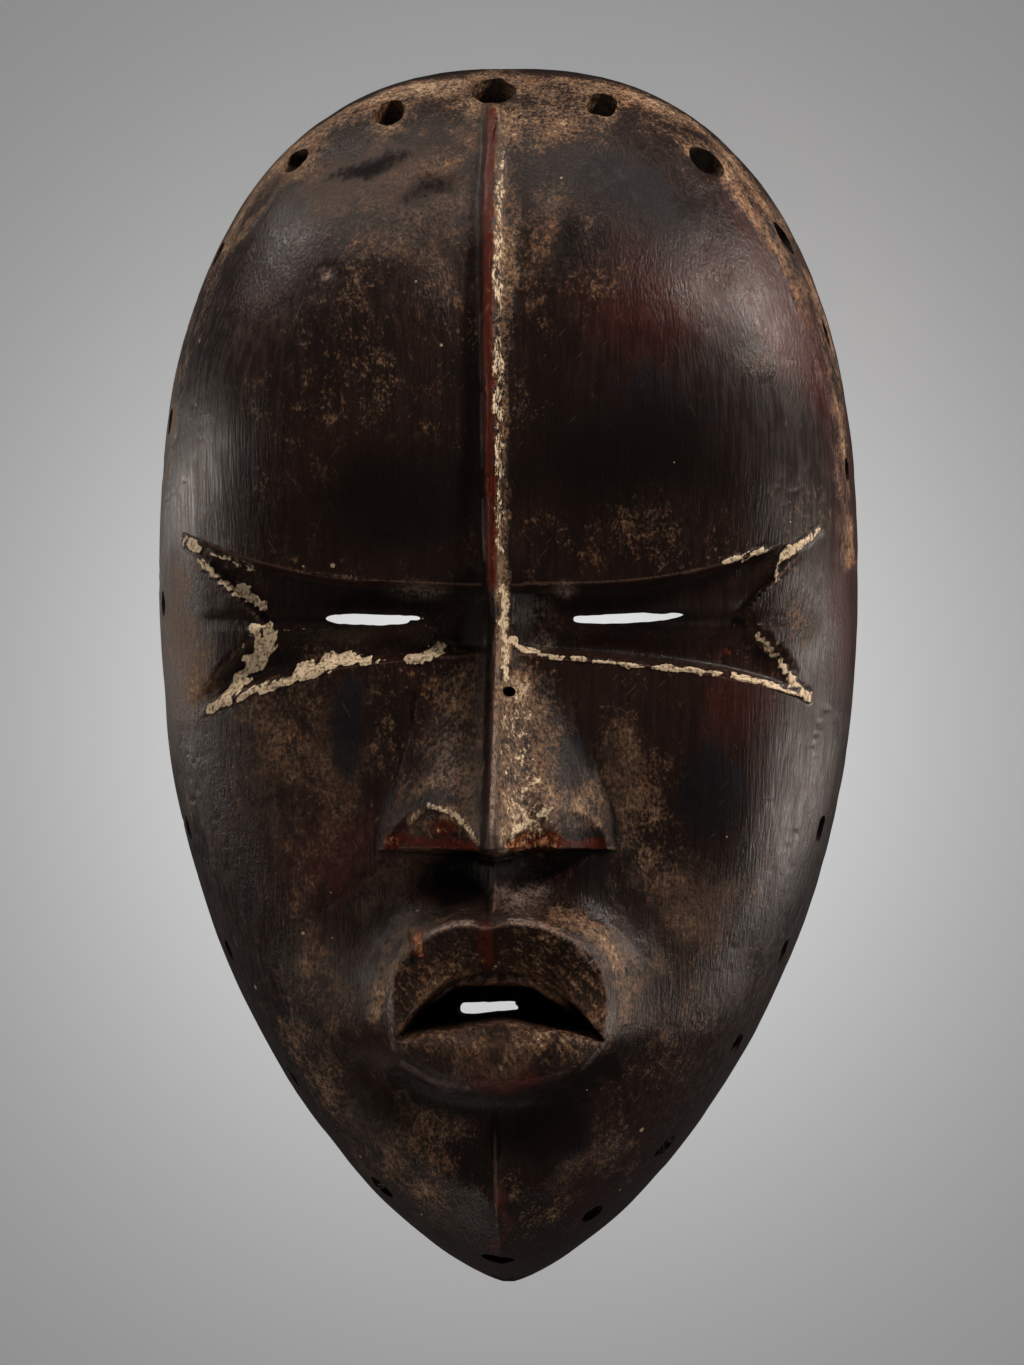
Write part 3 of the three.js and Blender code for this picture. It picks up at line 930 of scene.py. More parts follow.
@dataclass(frozen=True)
class Marks:
    """Where the wood is crusted, dusty, rubbed, reddened, sooty, chipped and scratched, and where shade,
    sheen and highlights are painted on it.
    """

    crust: tuple[Stroke, ...] = (
        Stroke(((-61.6, 26.7), (-58.1, 23.9)), 0.8, 1.0, 1.2),
        Stroke(((-59.9, 24.0), (-56.4, 20.8), (-51.5, 16.5)), 0.7, 0.8),
        Stroke(((-57.1, 23.7), (-52.5, 22.4), (-48.2, 20.8)), 0.7, 0.45),
        Stroke(((-49.6, 16.1), (-45.8, 13.4)), 1.5, 1.0, 1.0),
        Stroke(((-45.2, 7.6), (-48.2, 1.6), (-51.8, -3.4), (-56.3, -6.6)), 2.3, 1.0, 0.8),
        Stroke(
            ((-56.5, -6.6), (-50.2, -3.9), (-42.2, -1.5), (-34.7, 1.0), (-28.6, 2.8), (-23.5, 3.1)),
            1.1, 1.0, 0.7,
        ),
        Stroke(((-38.4, 1.0), (-36.1, 1.8)), 1.1, 0.9),
        Stroke(((-32.6, 3.0), (-28.3, 3.9), (-25.6, 3.4)), 1.5, 1.0, 0.8),
        Stroke(((-16.8, 2.9), (-11.2, 5.3)), 1.3, 0.8),
        Stroke(((-42.7, 8.6), (-38.3, 9.3), (-32.4, 9.5)), 0.3, 0.45),
        Stroke(((-52.9, 9.9), (-49.2, 9.9)), 0.3, 0.5),
        Stroke(((-14.0, 11.6), (-13.1, 6.8)), 0.9, 0.3),
        Stroke(((-11.9, 12.2), (-11.9, 9.1)), 0.6, 0.35),
        Stroke(((61.8, 28.0), (58.0, 24.8), (55.3, 23.1), (53.8, 19.0)), 0.6, 0.75, 0.9),
        Stroke(((44.3, 21.8), (48.3, 23.0), (51.7, 24.2)), 0.6, 0.8),
        Stroke(((48.2, 13.8), (51.3, 16.5)), 0.4, 0.35),
        Stroke(((50.5, 7.6), (53.5, 3.9), (57.3, -1.7), (60.2, -4.4)), 0.6, 0.9),
        Stroke(((4.5, 4.7), (12.0, 3.3), (20.9, 2.7), (25.3, 1.8), (31.9, 1.4)), 0.35, 0.8, 0.5),
        Stroke(((31.9, 1.4), (38.5, 0.8), (44.6, -0.1), (51.7, -1.7), (60.2, -4.4)), 0.7, 1.0, 0.4),
        Stroke(((0.0, 15.4), (1.6, 17.2), (1.9, 12.8), (1.5, 8.0), (1.8, 5.3), (2.0, -0.9)), 0.9, 0.7, 0.6),
        Stroke(((3.1, 7.0), (4.4, 5.3), (7.9, 4.5)), 0.9, 0.85, 0.4),
        Stroke(((-11.6, -29.6), (-7.6, -29.2)), 2.0, 0.3),
        # These four crust strokes are partly painted light: pale on the ridge's right flank, on the nose's
        # right flank and along the nostril arcs, where they catch the lamps.
        Stroke(((0.2, 103), (0.5, 60), (1.0, 24)), 1.0, 0.45),
        Stroke(((3.4, -6), (6.4, -28)), 2.6, 0.39, 4.2),
        Stroke(((-12.5, -25.0), (-6.8, -26.9), (-3.2, -31.6)), 0.45, 0.85),
        Stroke(((3.6, -31.0), (6.5, -28.0), (11.2, -25.4)), 0.45, 0.85),
    )
    dust: tuple[Patch, ...] = (
        Patch(9, 108, 9, 4, 0.6),
        Patch(24, 96, 8, 3.4, 0.5, -25),
        Patch(-10.8, 93.5, 9, 16, 0.25),
        Patch(12.3, 101, 11, 9, 0.5),
        Patch(20, 82, 7, 10, 0.25),
        Patch(-32, 49, 10, 15, 0.15),
        Patch(-30, 84, 10, 7, 0.2),
        Patch(27.8, 30, 12, 9, 0.35),
        Patch(50, 62.3, 5, 2.4, 0.55),
        Patch(-5, -24, 3.6, 8, 0.6),
        Patch(12.3, -54.9, 9, 6, 0.3),
        Patch(-10.8, -55.8, 6, 5, 0.2),
        Patch(-11.5, -72.6, 6, 3.4, 0.4),
        Patch(12.3, -71.8, 8, 3.4, 0.45),
        # The next three patches, on the nose's right flank and both wing tops, are partly painted light
        # that brightens faces turned to the lamps.
        Patch(8, -20, 5, 13, 0.75),
        Patch(13, -22.5, 7, 4, 0.85),
        Patch(-11, -21, 7, 4.5, 0.7),
        Patch(-9, -6, 5, 14, 0.4),
        Patch(9, -4, 4, 12, 0.35),
        Patch(-9.4, -29.3, 3.8, 2.2, 0.95),
        Patch(9.5, -28, 2.4, 1.2, 0.6),
        Patch(17, -25, 3.5, 7, 0.7),
        Patch(8, -47, 7, 3.4, 0.3),
        Patch(-37.8, -24, 16, 18, 0.2),
        Patch(35.5, -28, 9, 16, 0.45),
        Patch(-12.7, -91.5, 9, 7, 0.25),
        Patch(16, -94, 9, 4, 0.4, 35),
        Patch(-35.8, -78, 8, 12, 0.5),
        Patch(-13, -102, 9, 3.6, 0.5, -32),
        Patch(5, -99, 4, 4, 0.5),
        Patch(11, -105, 7, 2.6, 0.4, 35),
        Patch(-26, -92, 7, 3, 0.4, -45),
        Patch(57, 9, 6, 5, 0.6),
        Patch(-62, 8, 5, 20, 0.55),
    )
    # Dust runs. Some are partly painted light: those on the ridge's right flank, along the nostril arcs, on
    # the nose's right flank and on the collars beside the lips, and the thin line on the left brow edge.
    dust_runs: tuple[Stroke, ...] = (
        Stroke(((2.2, 111), (2.0, 78), (1.3, 62)), 2.4, 0.9, 1.3),
        Stroke(((0.5, 102), (1.0, 62), (1.3, 30), (1.3, 3)), 1.3, 1.0),
        Stroke(((-16.5, -28), (-12, -24.4), (-6.8, -26.4), (-3, -32)), 0.7, 0.9),
        Stroke(((3.3, -31.5), (6.5, -27.6), (11, -25.0), (16, -25.6), (20, -28.8)), 0.8, 0.95),
        Stroke(((43, 97.5), (55, 82), (62.2, 62), (66.0, 42), (67.6, 22)), 1.3, 0.95),
        Stroke(((-43, 97), (-55, 81), (-62, 62), (-66.5, 38)), 0.9, 0.7),
        Stroke(((3.7, -2.8), (6.6, -29.8)), 3.4, 0.9, 5.6),
        Stroke(((12, -46), (20, -49.5), (24.6, -57), (25.4, -66)), 2.0, 0.5, 1.4),
        Stroke(((-17, -50.5), (-21.5, -57), (-23.4, -66)), 2.8, 0.75, 1.4),
        Stroke(((-19, 17.6), (-40, 20.2)), 0.35, 0.6),
    )
    rubbed: tuple[Stroke, ...] = (
        Stroke(((-20.6, -32.0), (-4, -32.8)), 1.3, 0.6),
        Stroke(((-0.7, 3), (-0.6, -14), (-0.6, -31)), 0.7, 0.47),
        Stroke(((-20.8, -32), (-19.4, -32.6)), 0.9, 0.8),
        Stroke(((4.2, -32.0), (10.7, -32.0)), 1.7, 0.9),
        Stroke(((11.5, -32.4), (20.4, -32.4)), 1.1, 0.6),
        Stroke(((-4, -77.9), (2, -78.3), (9, -77.4)), 1.5, 0.5, 0.9),
        Stroke(((-1.2, -48.4), (-1.0, -55.0)), 1.5, 0.5, 1.4),
        Stroke(((-14.6, -50.2), (-14.0, -53.4)), 1.1, 1.0, 0.8),
        Stroke(((43.8, 5.2), (44.6, 4.4)), 0.7, 0.7),
    )
    worn: tuple[Patch, ...] = (Patch(-9.8, -29.2, 4.4, 2.4, 0.68), Patch(8, -29.4, 5, 2, 0.5))
    red: tuple[Patch, ...] = (
        Patch(34, 74, 20, 16, 0.75),
        Patch(-47, 72, 9, 16, 0.45),
        Patch(47, -4.8, 10, 14, 0.55),
        Patch(-28, -33.7, 14, 14, 0.6),
        Patch(12.3, -99, 8, 7, 0.5),
        Patch(-0.9, -51.5, 1.8, 5, 1.0),
        Patch(2.2, -77.8, 8, 2.3, 1.0),
        Patch(0.1, -105, 1.6, 9, 0.9),
        Patch(-66, 5, 3, 30, 0.6),
        Patch(-14.5, -9, 3, 9, 0.5),
        Patch(57, 66, 5, 34, 0.9, 22),
        Patch(67, 15, 4, 24, 0.8),
    )
    soot: tuple[Patch, ...] = (
        Patch(-25.2, 97.4, 10, 3.5, 0.9, 20),
        Patch(-14, 93, 8, 2.5, 0.6, 25),
        Patch(25.8, 93.5, 16, 7, 0.8, -20),
        Patch(-18, 33.8, 20, 14, 0.6),
        Patch(29, 46, 20, 18, 0.7),
        Patch(-28, -11, 4.5, 12, 0.9),
        Patch(41, -22, 9, 13, 0.95),
        Patch(40, -46, 6, 7, 0.5),
        Patch(10, -88, 10, 7, 0.9),
        Patch(-10.8, -39.5, 9, 5, 0.7),
        Patch(-27, -48, 5, 10, 0.6),
        Patch(-47, -34, 6, 22, 0.6),
        Patch(-26, -86, 5, 9, 0.6),
        Patch(13.5, -14, 3.4, 9, 0.75, -8),
        Patch(-10, -16, 2.6, 8, 0.5),
        Patch(-12, -24.5, 4, 2.4, 0.7),
        Patch(-26, 13, 22, 5, 0.6),
        Patch(28, 13, 20, 5, 0.7),
    )
    # Pale film patches. The one right of the keel under the nose is painted light, and the one on the
    # nose's left flank is a painted sheen.
    film_and_sheen: tuple[Patch, ...] = (
        Patch(13.3, 16.4, 2, 1.5, 0.8),
        Patch(8.9, 6.6, 2.2, 1.6, 0.7),
        Patch(7.6, 12.6, 3, 2.6, 0.5),
        Patch(-14.8, 16.3, 5, 1.6, 0.5),
        Patch(4.8, -40.5, 4.5, 5, 0.8),
        Patch(-10, -15, 4, 7, 0.45),
        Patch(12, -26.5, 6, 3, 0.5),
    )
    warm: tuple[Patch, ...] = (
        Patch(-62, 6, 7, 20, 0.9),
        Patch(-11, 92, 12, 22, 0.6),
        Patch(-30, 96, 16, 9, 0.8),
        Patch(-24, 83, 7, 4, 0.7),
        Patch(-26, 42, 22, 26, 0.2),
        Patch(10, 84, 6, 20, 0.4),
        Patch(28, 34, 18, 14, 0.25),
        Patch(-36, -22, 20, 24, 0.65),
        Patch(-16, -40, 10, 10, 0.7),
        Patch(24, -22, 6, 18, 0.75),
        Patch(37, -44, 11, 9, 0.9),
        Patch(30, -62, 10, 12, 0.6),
        Patch(-34, -62, 12, 20, 0.6),
        Patch(-16, -92, 20, 16, 0.5),
        Patch(18, -94, 11, 6, 0.6, 35),
        # The next two patches on the lips are partly painted light: they brighten the lips' faces.
        Patch(0, -60, 22, 14, 0.6),
        Patch(0, -73, 19, 5, 0.8),
        Patch(0, -10, 12, 22, 0.6),
    )
    # Nearly black patches: dark patina, except the two under the left of the nose, at y -41 and -38, which
    # are a painted shadow of the nose.
    dark: tuple[Patch, ...] = (
        Patch(-62, 13, 5, 17, 0.4),
        Patch(-9, -41, 8, 4.5, 0.9),
        Patch(-4, -38, 5, 4.5, 1.0),
        Patch(-21, 34, 17, 12, 0.8),
        Patch(26, 40, 24, 14, 0.85),
        Patch(30, -20, 10, 18, 0.4),
        Patch(38, -30, 9, 16, 0.5),
        Patch(-30, 13, 22, 5, 0.5),
        Patch(8, -87, 11, 8, 0.8),
        Patch(-20, -83, 6, 6, 0.6),
        Patch(-25, 97, 9, 2.4, 0.7, 18),
        Patch(-13, 94, 8, 2.2, 0.7, 20),
        Patch(14, 84, 3, 9, 0.6),
        Patch(30, 13, 22, 5, 0.5),
    )
    # Nearly black strokes. The one left of the nose's crest, the one under the lower lip and the two beside
    # the ridge's foot in the eye band are painted shade.
    dark_runs: tuple[Stroke, ...] = (
        Stroke(((-1.6, 14), (-1.5, -10), (-1.6, -33)), 0.7, 0.85, 0.9),
        Stroke(((-16.5, -49.5), (-15.6, -55)), 0.6, 0.8),
        Stroke(((1, -66), (0.4, -74)), 3.2, 0.5, 1.2),
        Stroke(((-0.5, -84), (-0.5, -93)), 0.9, 0.9),
        Stroke(((-19.5, -77), (-11, -81.6), (2, -83.0), (14, -80.8), (21.5, -75)), 2.6, 0.75),
        Stroke(((-5, 17), (-5, 7)), 3.2, 0.7),
        Stroke(((6, 16), (6, 8)), 3.2, 0.6),
    )
    # Pale strokes. The first is the grey disc of a plugged hole. The others are painted highlights and
    # sheens on the crest of the nose, the rims of the lips, the collars beside them and the lower lip's
    # lower edge.
    film_and_sheen_runs: tuple[Stroke, ...] = (
        Stroke(((-33.5, 77.7), (-33.0, 77.7)), 1.1, 1.0),
        Stroke(((0.3, 8), (0.3, -30)), 0.5, 1.0),
        Stroke(((-19.6, -57), (-20.2, -66), (-19.4, -72)), 0.5, 0.6),
        Stroke(((-18, -75), (-11, -78.4), (-5, -79.4)), 0.6, 0.5),
        Stroke(((3, -46.9), (9, -47.4), (15, -51), (19.5, -56)), 0.5, 1.0, 0.3),
        Stroke(((-4, -47.3), (-9, -48), (-13.5, -50)), 0.45, 1.0),
        Stroke(((17, -75.5), (21, -71), (22.2, -65)), 0.4, 0.4),
    )
    scratches: tuple[Stroke, ...] = (
        Stroke(((-15.4, 2.0), (-17.4, -11.7), (-21.2, -29.5)), 0.55, 1.0, 0.4),
        Stroke(((14.7, -5.7), (18.0, -18.3), (21.5, -31.2)), 0.4, 0.5),
        Stroke(((-30.5, -33.8), (-21.6, -44.4)), 0.6, 0.8, 0.3),
        Stroke(((-22.1, -36.5), (-34.8, -45.6)), 0.7, 0.9, 0.4),
        Stroke(((-33.7, -37.5), (-40.4, -44.7)), 0.6, 0.6, 0.3),
        Stroke(((51.7, 16.5), (59.3, 14.6)), 0.4, 0.7),
        Stroke(((51.7, 14.5), (59.8, 11.7)), 0.4, 0.8),
        Stroke(((51.7, 12.6), (58.3, 9.2)), 0.4, 0.7),
        Stroke(((24.6, 91.0), (28.6, 85.0)), 0.4, 0.5),
        Stroke(((19.9, -20.2), (27.6, -29.9)), 0.4, 0.5),
        Stroke(((22.5, -47.5), (31, -56)), 0.45, 0.7, 0.3),
    )
    chips: tuple[Stroke, ...] = (
        Stroke(((4.2, -32.4), (10.7, -32.4)), 1.5, 1.0),
        Stroke(((-14.6, -50.2), (-14.0, -53.4)), 1.1, 0.6, 0.8),
        Stroke(((-16.8, -4.5), (-16.4, -9.0)), 1.0, 0.8, 0.6),
        Stroke(((0.6, 110), (-1.8, 104)), 0.9, 0.7),
    )
    patch_stray: Point = (2.6, 4.0)

    def spread(self, p: Array) -> tuple[Array, Array]:
        """Places on the face shifted about unevenly, so that the soft patches end raggedly.

        Args:
            p: Points, one row each, in millimetres.

        Returns:
            The shifted places across and along the face.
        """
        x, y, _ = p.T
        across, along = self.patch_stray
        return x + across * Grain.PATCHES_ACROSS.on(p), y + along * Grain.PATCHES_ALONG.on(p)


class Layer(Enum):
    """The layers painted on the wood, patina and painted shade and sheen, each with the vertex colour
    channel that carries it.
    """

    CRUST = ("deposits", 0)
    DUST = ("deposits", 1)
    FILM_AND_SHEEN = ("deposits", 2)
    INNER = ("deposits", 3)
    RUBBED = ("tones", 0)
    RED = ("tones", 1)
    SOOT = ("tones", 2)
    WARM = ("tones", 3)
    EDGE = ("bends", 0)
    NOOK = ("bends", 1)
    LIP = ("bends", 2)
    DARK = ("bends", 3)


@dataclass(frozen=True)
class CarvedFace:
    """The whole carved form: the body and every feature on it, with its wear and the shade and sheen
    painted on it.
    """

    outline: Outline
    dome: Dome
    eyes: EyeBand = field(default_factory=EyeBand)
    nose: Nose = field(default_factory=Nose)
    mouth: Mouth = field(default_factory=Mouth)
    ridge: Ridge = field(default_factory=Ridge)
    marks: Marks = field(default_factory=Marks)
    temples: Swell = Swell(29, 62, 17, 26, 1.2)
    cheeks: Swell = Swell(33, -30, 13, 24, -1.8)
    trough_depth: float = 1.4
    trough_half: float = 9.0
    trough_start: Span = (20, 34)
    trough_end: Span = (96, 108)
    nose_seam: float = 2.0
    nostril_seam: float = 4.0
    wander: float = 0.35
    nail_hole: Point = (2.6, -3.2)
    dent: Point = (-33.2, 77.7)
    pit: Point = (19.1, 54.8)
    chin_x: float = -0.5
    chin_crest: float = 2.4
    chin_half: float = 3.4
    chin_start: Span = (-82, -98)
    chin_end: Span = (-112, -119)
    jaw_edge: float = 1.3
    jaw_span: Span = (27, 12)
    jaw_lines: tuple[Stroke, ...] = (
        Stroke(((-25, -84), (-12.6, -95.6), (-0.9, -103)), 4.4, 1.0, 3.4),
        Stroke(((22, -88.5), (11.5, -96.9), (2, -103)), 4.4, 1.0, 3.4),
    )
    keel: float = 5.2
    keel_x: float = -0.2
    keel_half: float = 2.6
    keel_start: Span = (-47.8, -44)
    keel_end: Span = (-37, -33.5)
    keel_sides: Point = (9.0, 6.0)
    keel_sides_depth: float = 2.2
    knife_depth: float = 0.16
    swell_height: float = 0.16
    grain_height: float = 0.03
    pits_depth: float = 0.1
    dust_crumbs: float = 0.07
    crust_height: float = 0.34
    crust_crumbs: float = 0.26
    scratch_depth: float = 0.34
    chip_depth: float = 0.85
    ridge_lumps: float = 0.5
    nail_lip: float = 0.4
    dent_depth: float = 0.5
    pit_depth: float = 0.6
    slope_step: float = 0.2
    bend_step: float = 0.6
    holes: tuple[RimHole, ...] = (
        RimHole(-2.3, 114.8, 8.8, 12.0), RimHole(19.3, 111.4, 6.0, 9.5), RimHole(39.9, 100.3, 8.3, 8.0),
        RimHole(54.8, 85.8, 7.6, 5.0), RimHole(63.2, 66.6, 5.6, 4.4), RimHole(67.0, 40.3, 5.2, 4.2),
        RimHole(62.0, -29.9, 5.0, 4.4), RimHole(54.9, -54.2, 5.2, 4.4), RimHole(45.6, -72.2, 5.2, 4.6),
        RimHole(31.7, -92.2, 6.0, 4.4), RimHole(17.4, -105.4, 4.8, 4.4), RimHole(-1.4, -114.4, 6.4, 4.4),
        RimHole(-23.8, -100.2, 6.0, 4.4), RimHole(-41.5, -79.0, 4.6, 4.2), RimHole(-54.1, -54.1, 4.8, 4.2),
        RimHole(-62.0, -29.9, 5.0, 4.4), RimHole(-67.4, 14.0, 5.2, 4.4), RimHole(-66.0, 50.0, 5.2, 4.4),
        RimHole(-56.8, 83.0, 5.2, 4.6), RimHole(-41.0, 101.0, 6.4, 8.0), RimHole(-22.4, 110.0, 6.6, 11.0),
    )

    def front(self, x: Array, y: Array) -> Array:
        """Height of the carved front over the plane of the rim.

        Args:
            x: Places across the face.
            y: Places along the face.

        Returns:
            Heights.
        """
        z = self.dome.height(x, y)
        z = z + self.temples.rise(x, y)
        trough = smooth(*self.trough_start, y) * (1 - smooth(*self.trough_end, y))
        z = z - self.trough_depth * bump(x / self.trough_half) * trough
        z = z + self.cheeks.rise(x, y)
        z = self.mouth.height(x, y, z - self.eyes.sink(x, y))
        seam = np.where(y < self.nose.tip_y, self.nostril_seam, self.nose_seam)
        z = np.where(y < self.nose.top_y, soft_max(z, self.nose.height(x, y), seam), z)
        z = z + self.ridge.rise(x, y, self.nose.tip_y)
        chin = smooth(*self.chin_start, y) * (1 - smooth(*self.chin_end, y))
        z = z + chin * self.chin_crest * np.exp(-np.abs(x - self.chin_x) / self.chin_half)
        for line in self.jaw_lines:
            z = z + self.jaw_edge * bump(line.reach(x, y)) * smooth(*self.jaw_span, np.abs(x))
        return np.maximum(z + self.lip_keel(x, y), self.dome.rim_edge)

    def lip_keel(self, x: Array, y: Array) -> Array:
        """Height of the keel from the nose to the upper lip, with a dip on each side.

        Args:
            x: Places across the face.
            y: Places along the face.

        Returns:
            Heights over the face.
        """
        along = smooth(*self.keel_start, y) * (1 - smooth(*self.keel_end, y))
        crest = self.keel * np.exp(-np.abs(x - self.keel_x) / self.keel_half)
        middle, half = self.keel_sides
        return along * (crest - self.keel_sides_depth * bump((np.abs(x) - middle) / half))

    def normal(self, x: Array, y: Array, height: Height) -> Array:
        """Unit normals of a height over the rim's plane.

        Args:
            x: Places across the face.
            y: Places along the face.
            height: The function that gives the height.

        Returns:
            Normals, one row each.
        """
        h = self.slope_step
        dx = (height(x + h, y) - height(x - h, y)) / (2 * h)
        dy = (height(x, y + h) - height(x, y - h)) / (2 * h)
        n = np.stack([-dx, -dy, np.ones(x.shape)], -1)
        return n / np.linalg.norm(n, axis=1, keepdims=True)

    def bend(self, x: Array, y: Array) -> Array:
        """How sharply the front bends at each place: above 0 in a nook, below 0 on an edge.

        Args:
            x: Places across the face.
            y: Places along the face.

        Returns:
            How sharply it bends.
        """
        h = self.bend_step
        middle = self.front(x, y)
        around = self.front(x - h, y) + self.front(x + h, y) + self.front(x, y - h) + self.front(x, y + h)
        return (around - 4 * middle) / (h * h) * self.normal(x, y, self.front)[:, 2] ** 3

    def drift(self, p: Array) -> Array:
        """How far the carver's hand strayed sideways at each point.

        Args:
            p: Points, one row each, in millimetres.

        Returns:
            Sideways steps, one row each.
        """
        wide = Grain.HAND_ACROSS.on(p)
        long = Grain.HAND_ALONG.on(p)
        return np.stack([wide, long, np.zeros(len(p))], -1) * self.wander

    def relief(self, p: Array, layers: dict[Layer, Array]) -> Array:
        """How far the surface stands out of its plain form, along its normal.

        Args:
            p: Points on the plain form.
            layers: The patina's layers at these points.

        Returns:
            Offsets in millimetres.
        """
        x, y, z = p.T
        knife = smooth(0.15, 0.9, Grain.KNIFE.on(p))
        offset = self.swell_height * Grain.SWELLS.on(p) - self.knife_depth * knife
        offset = offset + self.grain_height * Grain.FIBRES.on(p)
        offset = offset - self.pits_depth * smooth(0.62, 0.95, Grain.PITS.on(p))
        offset = offset + layers[Layer.DUST] * self.dust_crumbs * Grain.DUST_CRUMBS.on(p)
        crumbs = self.crust_height + self.crust_crumbs * Grain.CRUST_CRUMBS.on(p)
        offset = offset + layers[Layer.CRUST] * crumbs
        scratches = strokes_cover(self.marks.scratches, x, y, 0.25 * Grain.SCRATCHES.on(p))
        offset = offset - self.scratch_depth * scratches
        chips = strokes_cover(self.marks.chips, x, y, 0.5 * Grain.CHIP_EDGES.on(p))
        stripes = 0.65 + 0.35 * np.cos(x * 5.2 + 2 * Grain.CHIP_WAVES.on(p))
        offset = offset - self.chip_depth * stripes * chips
        crest = bump((x - self.ridge.middle(y)) / 2.6) * smooth(78, 92, y)
        offset = offset + crest * self.ridge_lumps * Grain.RIDGE_LUMPS.on(p)
        return (offset + self.small_marks(x, y)) * smooth(self.dome.rim_edge, self.dome.rim_edge + 3, z)

    def small_marks(self, x: Array, y: Array) -> Array:
        """Height of the lip round the nail hole, less the depth of the dent and the pit.

        Args:
            x: Places across the face.
            y: Places along the face.

        Returns:
            Heights over the surface.
        """
        nail = np.hypot(x - self.nail_hole[0], (y - self.nail_hole[1]) * 1.25)
        dent = np.hypot(x - self.dent[0], y - self.dent[1])
        pit = np.hypot(x - self.pit[0], y - self.pit[1])
        lip = self.nail_lip * bump((nail - 2.1) / 0.7)
        return lip - self.dent_depth * bump(dent / 1.1) - self.pit_depth * bump(pit / 0.8)

    def crust(self, p: Array) -> Array:
        """Where pale crust is left in the cuts round the eyes and on the bridge of the nose.

        Args:
            p: Points, one row each, in millimetres.

        Returns:
            Cover from 0 to 1.
        """
        x, y, _ = p.T
        ragged = 0.75 * Grain.CRUST_EDGES.on(p)
        holes = smooth(-0.85, -0.35, Grain.CRUST_GAPS.on(p))
        return strokes_cover(self.marks.crust, x, y, ragged) * holes

    def dust(self, p: Array) -> Array:
        """Where tan dust is left in the wood.

        Args:
            p: Points, one row each, in millimetres.

        Returns:
            Cover from 0 to 1.
        """
        x, y, z = p.T
        marks = self.marks
        rim = (1 - smooth(14, 30, z)) * smooth(6, 12, z) * smooth(20, 80, y)
        runs = strokes_cover(marks.dust_runs, x, y, 0.5 * Grain.DUST_EDGES.on(p))
        rings = np.zeros(x.shape)
        for hole in self.holes:
            away = np.hypot(x - hole.x, y - hole.y) / (hole.width / 2)
            rings = np.maximum(rings, 1 - smooth(1.0, 1.9, away))
        spread = marks.spread(p)
        total = 1 - (1 - 0.9 * rim) * (1 - runs) * (1 - 0.6 * rings * smooth(40, 90, y))
        total = 1 - (1 - total) * (1 - patches_cover(marks.dust, *spread))
        return clamp(total * (0.75 + 0.5 * Grain.DUST_SHARE.on(p)))

    def darkness_and_shade(self, x: Array, y: Array, z: Array, patches: Array, runs: Array) -> Array:
        """Where the wood is nearly black: in the dark patches and strokes, partly dark patina and partly
        painted shade, as painted shade in the recess between the lips, and along the outermost edge.

        Args:
            x: Places across the face.
            y: Places along the face.
            z: Heights over the rim's plane.
            patches: Cover of the dark patches.
            runs: Cover of the dark strokes.

        Returns:
            Cover from 0 to 1.
        """
        mouth = self.mouth
        shade_below_shelf = mix(0.15, 1.0, smooth(-1.4, 0.6, mouth.shelf(x) - y))
        # Painted shade in the recess between the lips, strongest below the shelf.
        between = smooth(-0.4, 1.6, mouth.gap(x, y)) * (mouth.reach(x, y) < 1) * shade_below_shelf
        edge = 0.7 * (1 - smooth(4, 10, z))
        return np.maximum.reduce([patches, runs, between, edge])

    def layers(self, p: Array) -> dict[Layer, Array]:
        """The painted layers on the front: patina, painted shade and painted sheen.

        Args:
            p: Points on the plain form.

        Returns:
            Each layer's strength at each point, from 0 to 1.
        """
        x, y, z = p.T
        marks = self.marks
        wx, wy = marks.spread(p)
        bend = self.bend(x, y)
        beside = np.abs(x - self.ridge.middle(y) + 0.3) + 0.35 * Grain.RIDGE_EDGES.on(p)
        bar = (1 - smooth(1.1, 1.6, beside)) * smooth(12, 18, y) * (1 - smooth(110, 112, y))
        bridge = bump((x + 0.2) / 0.9) * (1 - smooth(4, 12, y)) * smooth(-34, -32, y) * 0.85
        wear = 0.5 * Grain.RUN_EDGES.on(p)
        jaw = 0.5 * (1 - smooth(18, 34, z)) * (1 - smooth(-45, 5, wy))
        lids = 1 - 0.85 * bump((y - self.eyes.slit_y) / 3.5)
        rubbed = strokes_cover(marks.rubbed, x, y, 0.6 * Grain.RUBBED_EDGES.on(p))
        rubbed = np.maximum(rubbed, patches_cover(marks.worn, x, y))
        rubbed = np.maximum(rubbed, bar * 0.62)
        film_and_sheen = patches_cover(marks.film_and_sheen, x, y)
        dark_runs = strokes_cover(marks.dark_runs, x, y, wear)
        return {
            Layer.CRUST: self.crust(p),
            Layer.DUST: self.dust(p),
            # Pale film, with painted sheen and highlights.
            Layer.FILM_AND_SHEEN: np.maximum(film_and_sheen, strokes_cover(marks.film_and_sheen_runs, x, y, wear)),
            Layer.INNER: np.zeros(len(p)),
            Layer.RUBBED: clamp(rubbed),
            Layer.RED: clamp(np.maximum(patches_cover(marks.red, wx, wy), bridge)),
            Layer.SOOT: np.maximum(patches_cover(marks.soot, wx, wy), jaw),
            Layer.WARM: patches_cover(marks.warm, wx, wy),
            # Convex edges: lighter where handling wore them, and partly a painted highlight.
            Layer.EDGE: smooth(0.12, 0.8, -bend) * lids,
            Layer.NOOK: smooth(0.10, 0.7, bend),
            Layer.LIP: 1 - smooth(0.9, 1.0, self.mouth.reach(x, y)),
            # Dark patina and painted shade.
            Layer.DARK: self.darkness_and_shade(x, y, z, patches_cover(marks.dark, wx, wy), dark_runs),
        }


